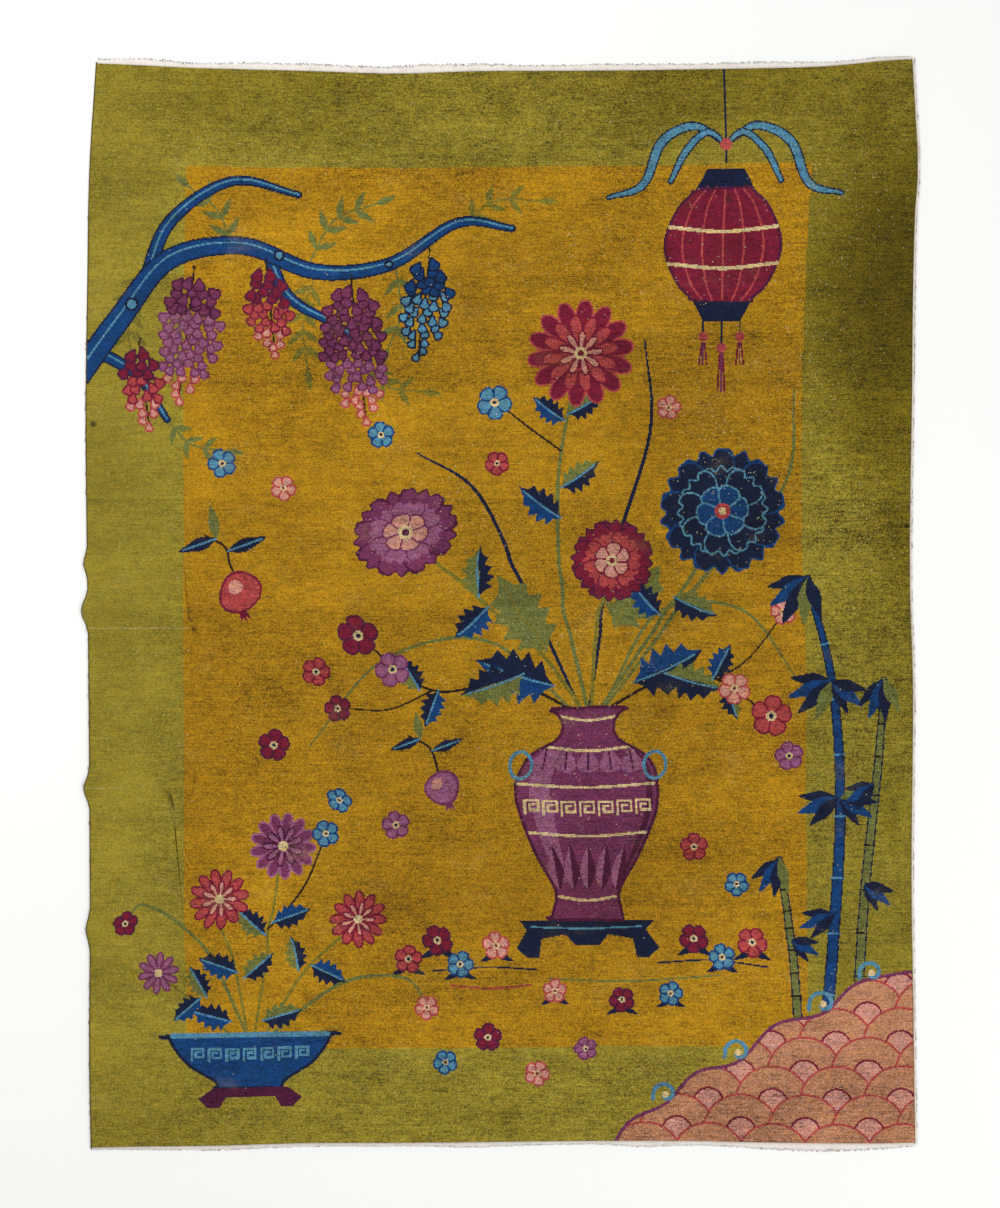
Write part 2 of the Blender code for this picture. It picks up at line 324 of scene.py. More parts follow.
def knot_leaf(leaf, dye="navy", vein="sky"):
    """A leaf from its stalk end. half is the dye of one side, where the two differ."""
    stance = leaf.x, leaf.y, leaf.turn, leaf.length, leaf.bend
    edge = placed(whole(leaf.shape), *stance)
    chart.fill(edge if leaf.shape is TOOTHED else smooth(edge, closed=True), dye)
    if leaf.half:
        chart.fill(placed(leaf.shape, *stance), leaf.half)
    if vein:
        chart.line(placed(RIB, *stance), VEIN_WIDTH, vein)


def knot_blade(x, y, length, turn, dye="navy", vein=None):
    """A narrow plain leaf from its stalk end."""
    knot_leaf(Leaf(x, y, length, turn, shape=LANCE), dye, vein)


Stroke = namedtuple("Stroke", "dye points")


def knot_strokes(strokes):
    """Lines whose points are (x, y, width)."""
    for stroke in strokes:
        chart.line([p[:2] for p in stroke.points], [p[2] for p in stroke.points], stroke.dye)


def knot_edged(dye, points, edge):
    """A line like a stroke's, with a navy edge on both sides that adds edge to its width."""
    knot_strokes([Stroke("navy", [(x, y, width + edge) for x, y, width in points]), Stroke(dye, points)])


def heading_at(path, share):
    """A point of a path at a share of its length, and its heading in degrees."""
    i = min(int(share * (len(path) - 1)), len(path) - 2)
    dx, dy = path[i + 1][:2] - path[i][:2]
    return path[i], math.degrees(math.atan2(dy, dx))


# The plain gold field inside the plain olive border. Its edges wander a little, as the rug's own do.
FIELD = [
    (31.2, 30.5), (130, 30.7), (235, 31.0), (234.6, 160), (233.4, 240), (235, 319.6), (134, 319.3),
    (31.0, 318.6), (31.4, 180),
]
chart.fill(FIELD, "gold")

# A flowering vine comes in over the upper left border. Each limb is a list of (x, y, width).
LIMBS = [
    [(-4, 248, 7), (10, 268, 6.6), (26, 288, 5.6), (50, 293, 4.8), (74, 285, 4.2), (98, 288, 3.4),
     (120, 301, 2.4), (138, 299, 1.2)],
    [(18, 279, 4), (26, 300, 3.2), (46, 314, 2.2), (68, 310, 1)],
    [(58, 291, 3.2), (66, 276, 2.6), (84, 266, 1.4), (92, 256, 1)],
    [(2, 258, 3.4), (16, 250, 2.4), (26, 236, 1.2)],
]
Frond = namedtuple("Frond", "dye pairs leaflet points")
FRONDS = [
    Frond("moss", 4, 7.5, [(20, 284), (13, 272), (14, 256)]),
    Frond("sage", 3, 7.0, [(46, 293), (42, 304), (32, 312)]),
    Frond("sage", 4, 7.0, [(72, 288), (80, 302), (94, 308)]),
    Frond("moss", 5, 7.0, [(74, 284), (70, 270), (72, 252)]),
    Frond("sage", 3, 6.5, [(100, 288), (102, 272), (98, 260)]),
    Frond("moss", 3, 6.5, [(122, 300), (132, 308), (147, 308)]),
    Frond("sage", 3, 6.0, [(26, 236), (34, 228), (46, 226)]),
    Frond("moss", 3, 6.5, [(92, 256), (98, 248), (110, 246)]),
]
LEAFLET_SPREAD = 48
BARE_STALK = 0.15
LEAFY_STALK = 0.8
for frond in FRONDS:
    chart.line(frond.points, VEIN_WIDTH, frond.dye)
    path = smooth(frond.points, steps=20)
    for i in range(frond.pairs):
        (x, y), turn = heading_at(path, BARE_STALK + LEAFY_STALK * i / frond.pairs)
        for side in (1, -1):
            knot_blade(x, y, frond.leaflet, turn + side * LEAFLET_SPREAD, frond.dye)
    (x, y), turn = heading_at(path, 1)
    knot_blade(x, y, frond.leaflet, turn, frond.dye)

LIMB_EDGE = 1.2
LIGHT_SIDE = 0.2
for limb in reversed(LIMBS):
    knot_edged("blue", limb, LIMB_EDGE)
    knot_strokes([Stroke("sky", [(x, y + width * LIGHT_SIDE, VEIN_WIDTH) for x, y, width in limb])])
Burr = namedtuple("Burr", "x y radius")
BURR_EDGE = 0.8
for burr in [Burr(14, 273, 2.3), Burr(62, 290, 1.9), Burr(98, 288, 1.5)]:
    chart.dot(burr.x, burr.y, burr.radius, "navy")
    chart.dot(burr.x, burr.y, burr.radius - BURR_EDGE, "sky")

# Its hanging flower heads: where each starts, how long it is and how far its tip swings, in cm
Raceme = namedtuple("Raceme", "x y length swing dyes")
RACEMES = [
    Raceme(34, 286, 42, -4, ("plum", "mauve", "mauve", "pink")),
    Raceme(58, 289, 30, 3, ("wine", "coral", "pink")),
    Raceme(86, 284, 46, 5, ("plum", "plum", "mauve", "pink")),
    Raceme(111, 293, 34, -3, ("blue", "sky", "sky")),
    Raceme(17, 262, 27, 3, ("wine", "coral", "pink")),
]
RACEME_EDGES = {"plum": "dark_plum", "mauve": "plum", "pink": "coral", "wine": "dark_plum", "coral": "wine"}
RACEME_STALK = 3
FULLNESS = 0.19
SHOULDER = 0.16
FLORET_ROW = 2.5
FLORET_SPACING = 3.1
FLORET_LENGTH = 4.4
FLORET_SHRINKING = 1.4
FLORET_DROOP = 0.35
FLORET_FAN = 7
ROUNDNESS = 0.8
STRAY_ACROSS = 0.4
STRAY_ALONG = 0.5
STRAY_TURN = 20
raceme_chance = random.Random(7)


def knot_floret(raceme, share, across, dye):
    """One floret at a share of a raceme's length, and how far across from its middle line."""
    below = RACEME_STALK + share * (raceme.length - RACEME_STALK) + abs(across) * FLORET_DROOP
    x = raceme.x + raceme.swing * share**2 + across
    y = raceme.y - below + raceme_chance.uniform(-STRAY_ALONG, STRAY_ALONG)
    turn = -90 + FLORET_FAN * across + raceme_chance.uniform(-STRAY_TURN, STRAY_TURN)
    petal = placed(whole(ROUND), x, y, turn, FLORET_LENGTH - FLORET_SHRINKING * share)
    petal = smooth(petal, closed=True, steps=4)
    chart.fill(petal, dye)
    chart.rim(petal, VEIN_WIDTH, RACEME_EDGES.get(dye, "navy"))


for raceme in RACEMES:
    tip = (raceme.x + raceme.swing, raceme.y - raceme.length)
    chart.line([(raceme.x, raceme.y), (raceme.x, raceme.y - 4), tip], VEIN_WIDTH, "ink")
    rows = int(raceme.length / FLORET_ROW)
    for i in reversed(range(rows)):
        share = i / (rows - 1)
        swelling = math.sin(math.pi * (SHOULDER + (1 - SHOULDER) * share)) ** ROUNDNESS
        half = raceme.length * FULLNESS * swelling
        florets = max(1, round(2 * half / FLORET_SPACING))
        dye = raceme.dyes[min(int(share * len(raceme.dyes)), len(raceme.dyes) - 1)]
        for j in range(florets):
            across = half * (2 * (j + 0.25 + i % 2 / 2) / florets - 1)
            across += raceme_chance.uniform(-STRAY_ACROSS, STRAY_ACROSS)
            knot_floret(raceme, share, across, dye)

# A paper lantern hangs from the upper right border.
LANTERN_X = 207
LANTERN_TOP = 312
LANTERN_FOOT = 274
# Rows are the height and the half width at it.
LANTERN_SIDE = [(312, 8), (305, 15), (293, 19), (281, 15), (274, 8)]


def turned_outline(side, middle):
    """The outline of a turned form, from (height, half width) rows, and the smooth side itself."""
    curve = smooth(side)
    right = [(middle + half, height) for height, half in curve]
    left = [(middle - half, height) for height, half in curve[::-1]]
    return right + left, curve


def knot_band(x, y, half, sag, width):
    """An ivory band across a turned form, lower in the middle by sag."""
    chart.line([(x - half, y), (x, y - sag), (x + half, y)], width, "ivory")


ribbons = [
    [(0, 14, 0.8), (10, 20, 2.0), (21, 15, 2.5), (27, 1, 2.0), (38, -3, 0.6)],
    [(0, 14, 0.8), (6, 18, 1.6), (13, 12, 1.8), (18, 2, 1.0)],
]
for side in (-1, 1):
    for ribbon in ribbons:
        knot_edged("sky", [(LANTERN_X + side * x, LANTERN_TOP + y, width) for x, y, width in ribbon], 1)
chart.line([(LANTERN_X, 352), (LANTERN_X, 336), (LANTERN_X, 320)], 0.9, "navy")
chart.dot(LANTERN_X, LANTERN_TOP + 14, 2, "coral")
cap = [(-6, 6), (6, 6), (9.5, -0.5), (-9.5, -0.5)]
chart.fill([(LANTERN_X + x, LANTERN_TOP + y) for x, y in cap], "navy")
outline, curve = turned_outline(LANTERN_SIDE, LANTERN_X)
chart.fill(outline, "wine")
for share in (0, 0.36, 0.7):
    for side in (-1, 1):
        chart.line([(LANTERN_X + side * share * half, y) for y, half in curve[::2]], VEIN_WIDTH, "coral")
chart.rim(outline, 0.9, "dark_plum")
for y, half in ((299, 17.6), (287, 17.8)):
    knot_band(LANTERN_X, y, half, 1.6, 1.2)
chart.fill([(LANTERN_X + x, LANTERN_FOOT - y) for x, y in cap], "navy")
for x, drop in ((-6, 15), (0, 24), (6, 15)):
    x, top = LANTERN_X + x, LANTERN_FOOT - 5
    bead = top - drop * 0.4
    chart.line([(x, top), (x, bead)], VEIN_WIDTH, "navy")
    chart.dot(x, bead, 1.6, "coral")
    for lean in (-1, 0, 1):
        strand = [(x + 0.5 * lean, bead - 2), (x + 1.2 * lean, top - drop)]
        chart.line(strand, VEIN_WIDTH, "wine" if lean else "plum")

# A tall jar on a low stand holds the large flowers, right of the middle.
JAR_X = 163
JAR_Y = 60
MOUTH_Y = JAR_Y + 80
STALKS = [
    Stroke("navy", [(161, MOUTH_Y, 0.9), (144, 178, 1.3), (128, 212, 1.1), (108, 226, 0.5)]),
    Stroke("sage", [(167, MOUTH_Y, 0.9), (200, 182, 1.4), (228, 214, 1.1), (231, 246, 0.5)]),
    Stroke("sage", [(167, MOUTH_Y, 0.9), (186, 172, 1.1), (214, 174, 1.0), (231, 152, 0.5)]),
    Stroke("sage", [(159, MOUTH_Y, 0.9), (130, 164, 1.1), (96, 158, 0.9), (72, 130, 0.5)]),
    Stroke("navy", [(163, MOUTH_Y, 0.9), (172, 190, 1.3), (184, 232, 1.1), (182, 262, 0.5)]),
    Stroke("sage", [(163, MOUTH_Y, 1.3), (156, 176, 1.3), (154, 216, 1.2), (160, 254, 1.2)]),
    Stroke("moss", [(162, MOUTH_Y, 1.4), (146, 162, 1.3), (126, 180, 1.3), (112, 192, 1.3)]),
    Stroke("sage", [(166, MOUTH_Y, 1.3), (180, 160, 1.3), (196, 182, 1.2), (206, 198, 1.2)]),
    Stroke("moss", [(164, MOUTH_Y, 1.2), (166, 166, 1.2), (171, 182, 1.2)]),
    Stroke("ink", [(167, MOUTH_Y, 1.0), (186, 150, 0.9), (205, 151, 0.8), (221, 140, 0.6)]),
    Stroke("ink", [(160, MOUTH_Y, 1.0), (138, 150, 0.9), (112, 148, 0.8), (90, 164, 0.6)]),
    Stroke("ink", [(206, 151, 0.7), (216, 158, 0.6), (226, 170, 0.5)]),
    Stroke("ink", [(112, 148, 0.7), (98, 142, 0.6), (84, 142, 0.5)]),
    Stroke("ink", [(155, 226, 0.7), (144, 234, 0.7), (134, 242, 0.6)]),
]
knot_strokes(STALKS)
for x, y, length, turn in ((150, 160, 30, 122), (172, 168, 26, 52)):
    knot_leaf(Leaf(x, y, length, turn), "sage", "moss")
# The large leaves curve up towards their tips. Those on the thin twigs are straight.
LEAF_BEND = 0.12
for leaf in [
    Leaf(152, 149, 27, 168, "blue"), Leaf(178, 150, 25, 18, "blue"), Leaf(142, 153, 22, 205, "sage"),
    Leaf(188, 153, 20, -22, "sage"), Leaf(155, 204, 17, 150, "blue"), Leaf(155, 214, 15, 28, "sage"),
    Leaf(128, 178, 17, 95, "sage"), Leaf(132, 175, 16, 225, "blue"), Leaf(188, 172, 15, 140, "blue"),
    Leaf(192, 178, 16, -30, "sage"), Leaf(156, 236, 13, 150, "blue"), Leaf(157, 238, 13, 24, "sage"),
]:
    knot_leaf(leaf._replace(bend=LEAF_BEND if leaf.turn < 90 else -LEAF_BEND))
for leaf in [
    Leaf(108, 148, 13, 120, "sage"), Leaf(114, 148, 13, 250, "blue"), Leaf(204, 151, 13, 62, "blue"),
    Leaf(208, 149, 12, -70, "sage"),
]:
    knot_leaf(leaf)
for bloom in [
    Bloom("plum_peony", 104, 200, 17, 110, 0.8), Bloom("navy_peony", 208, 206, 20, 70),
    Bloom("wine_daisy", 161, 258, 17, 85), Bloom("coral_peony", 172, 190, 13, 85),
    Bloom("sky", 133, 242, 5.5, 60), Bloom("wine", 88, 166, 6.5, 20), Bloom("mauve", 99, 155, 5.5, 40),
    Bloom("coral", 74, 154, 4.5, 70), Bloom("coral", 223, 139, 6.5, 10), Bloom("pink", 211, 148, 5, 50),
    Bloom("mauve", 229, 126, 4.5, 30), Bloom("pink", 228, 173, 4, 30), Bloom("wine", 81, 142, 4.2, 30),
]:
    knot_bloom(bloom)

# The jar and stand, as heights and half widths above the stand's foot
JAR_SIDE = [
    (12, 12), (16, 11), (22, 10.5), (34, 17), (48, 22.5), (58, 23), (66, 19), (71.5, 10), (77, 8.5),
    (82, 12),
]
STAND = [
    (20, 0), (23.5, 3), (19.5, 9), (22, 12), (-22, 12), (-19.5, 9), (-23.5, 3), (-20, 0), (-16, 0),
    (-15, 6), (-7, 7.5), (-4, 4), (4, 4), (7, 7.5), (15, 6), (16, 0),
]
chart.fill([(JAR_X + x, JAR_Y + y) for x, y in STAND], "navy")
chart.line([(JAR_X - 18, JAR_Y + 10), (JAR_X, JAR_Y + 9.4), (JAR_X + 18, JAR_Y + 10)], VEIN_WIDTH, "sky")
outline, curve = turned_outline([(JAR_Y + height, half) for height, half in JAR_SIDE], JAR_X)
chart.fill(outline, "plum")
belly = [(height, half) for height, half in curve if JAR_Y + 24 < height < JAR_Y + 68]
for dye, inner, outer in (("mauve", 0.5, 0.8), ("dark_plum", -0.93, -0.84)):
    near = [(JAR_X - inner * half, height) for height, half in belly]
    far = [(JAR_X - outer * half, height) for height, half in reversed(belly)]
    chart.fill(near + far, dye)


def jar_half(height):
    """The jar's half width at a height above the stand's foot."""
    return float(np.interp(JAR_Y + height, curve[:, 0], curve[:, 1]))


# Upright leaves round the jar's foot and drops round its shoulder
for share in (-0.8, -0.4, 0, 0.4, 0.8):
    x = JAR_X + share * jar_half(24)
    knot_leaf(Leaf(x, JAR_Y + 22, 15, 90 - 14 * share, "mauve", LANCE), "dark_plum", None)
for share in (-0.75, -0.38, 0, 0.38, 0.75):
    x = JAR_X + share * jar_half(67)
    knot_leaf(Leaf(x, JAR_Y + 69, 8.5, -90 + 16 * share, None, ROUND), "mauve", "dark_plum")
for height in (20, 41, 57, 69, 79):
    knot_band(JAR_X, JAR_Y + height, jar_half(height), 1.4, 0.9)
chart.rim(outline, 1.0, "dark_plum")

MEANDER = [(-1, -1), (-1, 1), (1, 1), (1, -0.5), (-0.35, -0.5), (-0.35, 0.4), (0.4, 0.4)]


def knot_meander(x, y, size, dye):
    """One square hook of a key pattern."""
    corners = [(x + size * a, y + size * b) for a, b in MEANDER]
    for corner, following in zip(corners, corners[1:]):
        chart.line([corner, following], 0.8, dye, steps=1)


for i in range(-3, 4):
    knot_meander(JAR_X + 6.1 * i, JAR_Y + 48.6 + 0.09 * i * i, 2.2, "ivory")
ring = [(3.6 * math.cos(a), 4.4 * math.sin(a)) for a in np.linspace(0, 2 * math.pi, 14)]
for side in (-1, 1):
    chart.line([(JAR_X + side * (22 + x), JAR_Y + 63 + y) for x, y in ring], 1.1, "sky")

# Fallen flowers and thin ground lines in front of the stand
knot_strokes([
    Stroke("navy", [(112, 56, 0.6), (130, 57, 0.6), (146, 56, 0.6)]),
    Stroke("sage", [(150, 53, 0.6), (176, 52, 0.6), (206, 54, 0.6)]),
    Stroke("navy", [(186, 58, 0.6), (204, 59, 0.6), (222, 57, 0.6)]),
    Stroke("coral", [(118, 51, 0.6), (132, 50, 0.6), (144, 51, 0.6)]),
])
for bloom in [
    Bloom("coral", 104, 60, 4.4, 10), Bloom("wine", 114, 66, 4.8, 40), Bloom("sky", 121, 58, 4.2, 70),
    Bloom("pink", 133, 64, 4.4, 20), Bloom("wine", 198, 66, 4.6, 50), Bloom("sky", 207, 60, 4.2, 30),
    Bloom("coral", 217, 65, 4.8, 60), Bloom("pink", 152, 49, 3.8, 15), Bloom("wine", 174, 46, 4.0, 45),
    Bloom("sky", 190, 48, 3.8, 0),
]:
    for turn in (205, -25):
        knot_blade(bloom.x, bloom.y - bloom.radius * 0.6, bloom.radius * 1.4, turn)
    knot_bloom(bloom)

# A low bowl of daisies and grasses stands over the lower left corner of the field.
BOWL_X = 52
BOWL_Y = 12
BOWL_SIDE = [(6, 10), (9, 12), (14, 20), (20, 25), (24, 26.5)]
BOWL_FOOT = [
    (14, 0), (17, 3), (12, 6.5), (-12, 6.5), (-17, 3), (-14, 0), (-10, 0), (-8, 3.4), (8, 3.4), (10, 0),
]
knot_strokes([
    Stroke("sage", [(52, 34, 1.0), (36, 66, 1.2), (18, 78, 1.0), (12, 74, 0.5)]),
    Stroke("sage", [(57, 34, 1.0), (82, 52, 1.2), (102, 54, 1.0), (110, 46, 0.5)]),
    Stroke("moss", [(52, 32, 0.9), (47, 58, 0.9), (42, 76, 0.9)]),
    Stroke("moss", [(53, 32, 0.9), (58, 64, 0.9), (62, 92, 0.9)]),
    Stroke("moss", [(55, 32, 0.9), (70, 56, 0.9), (86, 70, 0.9)]),
    Stroke("moss", [(50, 32, 0.9), (34, 46, 0.9), (24, 54, 0.9)]),
    Stroke("ink", [(59, 70, 0.7), (70, 84, 0.7), (76, 98, 0.6)]),
])
for leaf in [
    Leaf(48, 56, 14, 160, "blue"), Leaf(50, 54, 13, 40, "sage"), Leaf(58, 68, 13, 140, "sage"),
    Leaf(60, 72, 13, 20, "blue"), Leaf(68, 56, 12, 100, "sage"), Leaf(72, 58, 13, -25, "blue"),
    Leaf(38, 48, 12, 120, "sage"), Leaf(36, 48, 12, 220, "blue"), Leaf(56, 40, 14, 15, "sage"),
    Leaf(46, 40, 14, 165, "blue"),
]:
    knot_leaf(leaf)
for bloom in [
    Bloom("coral_daisy", 42, 80, 9.5, 100), Bloom("plum_daisy", 63, 97, 10.5, 80),
    Bloom("coral_daisy", 88, 73, 9, 60), Bloom("mauve_daisy", 22, 56, 6.5, 120),
    Bloom("sky", 77, 101, 4.2, 40), Bloom("wine", 12, 72, 3.8, 20), Bloom("pink", 110, 44, 3.8, 50),
]:
    knot_bloom(bloom)
outline, curve = turned_outline([(BOWL_Y + height, half) for height, half in BOWL_SIDE], BOWL_X)
chart.fill(outline, "blue")
chart.rim(outline, 1.0, "navy")
chart.line([(BOWL_X + x, BOWL_Y + 23.5) for x in (-25.5, 0, 25.5)], 1.5, "sky")
for i in range(-3, 4):
    knot_meander(BOWL_X + 5.7 * i, BOWL_Y + 17 + 0.05 * i * i, 1.9, "sky")
chart.fill([(BOWL_X + x, BOWL_Y + y) for x, y in BOWL_FOOT], "dark_plum")

# Canes stand in a bank of scale-like waves over the lower right corner.
Cane = namedtuple("Cane", "dye joint points")
CANE_JOINTS = 0.12
for cane in [
    Cane("blue", "sky", [(240, 30, 3.2), (244, 70, 3.0), (246, 110, 2.6), (243, 150, 2.0), (236, 184, 1.2)]),
    Cane("sage", "ink", [(251, 40, 2.6), (254, 80, 2.4), (258, 120, 2.0), (260, 150, 1.2)]),
    Cane("sage", "ink", [(232, 34, 2.2), (230, 64, 2.0), (226, 92, 1.4)]),
]:
    knot_edged(cane.dye, cane.points, 0.9)
    path = smooth(cane.points, steps=20)
    for share in np.arange(CANE_JOINTS, 1, CANE_JOINTS):
        (x, y, width), turn = heading_at(path, share)
        chart.line(placed([(0, -0.75), (0, 0.75)], x, y, turn, width), VEIN_WIDTH, cane.joint)
Sheaf = namedtuple("Sheaf", "x y turn leaves length")
SHEAF_SPREAD = 24
for sheaf in [
    Sheaf(236, 184, -120, 5, 17), Sheaf(243, 150, -150, 4, 16), Sheaf(243, 150, -40, 3, 13),
    Sheaf(246, 112, -20, 4, 13), Sheaf(245, 112, -160, 3, 14), Sheaf(260, 150, -100, 4, 14),
    Sheaf(226, 92, -110, 4, 13), Sheaf(230, 66, -30, 3, 10), Sheaf(257, 116, -150, 3, 11),
    Sheaf(244, 74, -160, 3, 12), Sheaf(254, 84, -40, 3, 11),
]:
    for i in range(sheaf.leaves):
        off = i - (sheaf.leaves - 1) / 2
        turn, length = sheaf.turn + SHEAF_SPREAD * off, sheaf.length * (1 - 0.1 * abs(off))
        knot_blade(sheaf.x, sheaf.y, length, turn, ("navy", "blue", "navy", "sage")[i % 4])

BANK = [(168, -6), (176, 6), (188, 12), (198, 22), (212, 26), (224, 38), (240, 42), (252, 52), (276, 56)]
WAVE_STEP = 21
WAVE_ROW = 9.4
Arc = namedtuple("Arc", "radius dye")
ARCS = [Arc(12.6, "coral"), Arc(11.9, "salmon"), Arc(5.2, "wine"), Arc(4.5, "pink")]
ridge = smooth(BANK)
waves = Chart("salmon")
for row in range(8):
    for column in range(7):
        x = 160 + WAVE_STEP * (column + row % 2 / 2)
        for arc in ARCS:
            waves.dot(x, 50 - WAVE_ROW * row, arc.radius, arc.dye)
bank = Chart("olive")
bank.fill(ridge.tolist() + [(276, -6)], "salmon")
covered = bank.knots == DYE_NUMBER["salmon"]
chart.knots[covered] = waves.knots[covered]
chart.line(ridge[::2], 1.1, "plum")
Curl = namedtuple("Curl", "x y radius")
for curl in [Curl(188, 15, 4.4), Curl(212, 29, 4.8), Curl(240, 45, 5.0), Curl(256, 55, 4.4)]:
    turns = np.radians(200 - 42 * np.arange(9))
    radii = curl.radius * (1 - 0.1 * np.arange(9))
    chart.line(np.column_stack([curl.x + radii * np.cos(turns), curl.y + radii * np.sin(turns)]), 1.3, "sky")
    chart.dot(curl.x, curl.y, 1.1, "ivory")

# Fruit sprigs and single flowers are scattered over the field and the lower border.
Fruit = namedtuple("Fruit", "x y radius dye edge")
for fruit in [Fruit(50, 180, 6.5, "coral", "wine"), Fruit(116, 116, 5.2, "mauve", "plum")]:
    x, y, radius = fruit.x, fruit.y, fruit.radius
    top = y + radius
    knot_strokes([Stroke("ink", [(x - 2, top, 0.8), (x - 5, top + 8, 0.8), (x - 12, top + 12, 0.6)])])
    chart.dot(x, y, radius + 0.5, fruit.edge)
    chart.dot(x, y, radius - 0.3, fruit.dye)
    chart.dot(x - radius * 0.3, y + radius * 0.25, radius * 0.35, "pink")
    for turn in (-108, -80, -52):
        knot_blade(x + 0.3 * radius, y - radius * 0.9, radius * 0.6, turn, fruit.edge)
    knot_blade(x - 4, top + 7, radius * 2, 20, vein="sky")
    knot_blade(x - 8, top + 11, radius * 2, 200, vein="sky")
    knot_blade(x - 8, top + 11, radius * 1.7, 100, "sage")
for bloom in [
    Bloom("wine", 60, 130, 5.0, 10), Bloom("sky", 44, 222, 4.5, 40), Bloom("pink", 64, 214, 4.0, 60),
    Bloom("sky", 96, 232, 4.2, 25), Bloom("pink", 190, 240, 3.8, 5), Bloom("coral", 134, 222, 3.8, 50),
    Bloom("mauve", 100, 104, 4.4, 30), Bloom("sky", 82, 112, 3.8, 70), Bloom("coral", 198, 96, 4.4, 20),
    Bloom("sky", 212, 84, 3.8, 55), Bloom("wine", 130, 34, 4.4, 15), Bloom("sky", 116, 26, 3.8, 45),
    Bloom("pink", 146, 22, 4.0, 65), Bloom("mauve", 162, 30, 3.6, 35),
]:
    knot_bloom(bloom)

# The pile's shape. Its top follows the lift, with the slight unevenness of a worn pile, and its rim is
# rounded over. Rim rows are how far each lies inside the outline, and its height as a share of the pile.
RimRow = namedtuple("RimRow", "inset share")
RIM_ROWS = [
    RimRow(3.4 * MM, 1.0), RimRow(1.5 * MM, 0.95), RimRow(0.4 * MM, 0.82), RimRow(0, 0.6), RimRow(0, 0.25),
    RimRow(0.9 * MM, 0.0),
]
RIM_SPACING = 4
TOP_FREE_SPACING = 9
UNDER_FREE_SPACING = 12
CLEAR_OF_LINES = 3
UNDER_KNOTS = 2
MERGE_REACH = 1e-5
Swell = namedtuple("Swell", "rise length turn phase")
SWELLS = [
    Swell(0.30 * MM, 0.31, 12, 0.4), Swell(0.26 * MM, 0.19, 71, 1.9), Swell(0.22 * MM, 0.13, 128, 3.1),
    Swell(0.18 * MM, 0.093, 38, 5.2), Swell(0.16 * MM, 0.071, 97, 0.9),
]


def swell_at(x, y):
    """How far the cut pile stands above or below its usual height."""
    total = np.zeros_like(x)
    for swell in SWELLS:
        turn = math.radians(swell.turn)
        total += swell.rise * np.sin(
            2 * math.pi * (x * math.cos(turn) + y * math.sin(turn)) / swell.length + swell.phase
        )
    return total


def dye_lines(knots, size, free_spacing):
    """Lattice points and edges along each change of dye, with an even spread of free points between."""
    p = np.pad(knots.astype(int), 1, constant_values=-1)
    lower_left, lower_right, upper_left, upper_right = p[:-1, :-1], p[:-1, 1:], p[1:, :-1], p[1:, 1:]
    rightward, leftward = lower_right != upper_right, lower_left != upper_left
    upward, downward = upper_left != upper_right, lower_left != lower_right
    any_line = rightward | leftward | upward | downward
    level = rightward & leftward & ~upward & ~downward
    upright = upward & downward & ~rightward & ~leftward
    rows, columns = np.nonzero(any_line & ~level & ~upright)
    number = np.zeros(any_line.shape, int)
    number[rows, columns] = np.arange(len(rows))
    edges = []
    for leaving, order in ((rightward, np.lexsort((columns, rows))), (upward, np.lexsort((rows, columns)))):
        r, c = rows[order], columns[order]
        held = r if leaving is rightward else c
        joined = (held[1:] == held[:-1]) & leaving[r[:-1], c[:-1]]
        ends = number[r, c]
        edges.append(np.column_stack([ends[:-1][joined], ends[1:][joined]]))
    busy = any_line.copy()
    for _ in range(CLEAR_OF_LINES):
        grown = busy.copy()
        grown[1:] |= busy[:-1]
        grown[:-1] |= busy[1:]
        grown[:, 1:] |= busy[:, :-1]
        grown[:, :-1] |= busy[:, 1:]
        busy = grown
    tall, wide = knots.shape
    free_rows, free_columns = np.mgrid[free_spacing:tall - 2:free_spacing, free_spacing:wide - 2:free_spacing]
    free = ~busy[free_rows, free_columns]
    points = np.column_stack([np.append(columns, free_columns[free]), np.append(rows, free_rows[free])])
    return points * size, np.vstack(edges)


def triangulate(points, edges, ring):
    """Triangles over lattice points, with the ring of rim points first. Returns points and triangles."""
    known = {tuple(point): i for i, point in enumerate(ring)}
    renumbered = []
    for point in map(tuple, points):
        renumbered.append(known.setdefault(point, len(known)))
    renumbered = np.array(renumbered)
    lattice = [Vector(point) for point in known]
    around = np.arange(len(ring))
    on_rim = []
    for x, y in known:
        sides = (x == 0, x == KNOTS_ACROSS, y == 0, y == KNOTS_ALONG)
        on_rim.append({side for side, touched in enumerate(sides) if touched})
    inner = [(int(a), int(b)) for a, b in renumbered[edges] if not on_rim[a] & on_rim[b]]
    rim = [(int(a), int(b)) for a, b in zip(around, np.roll(around, -1))]
    _, _, triangles, origins, *_ = delaunay_2d_cdt(lattice, rim + inner, [], 0, MERGE_REACH)
    order = np.array([origin[0] for origin in origins])
    return np.array(list(known), float), order[np.array(triangles)]


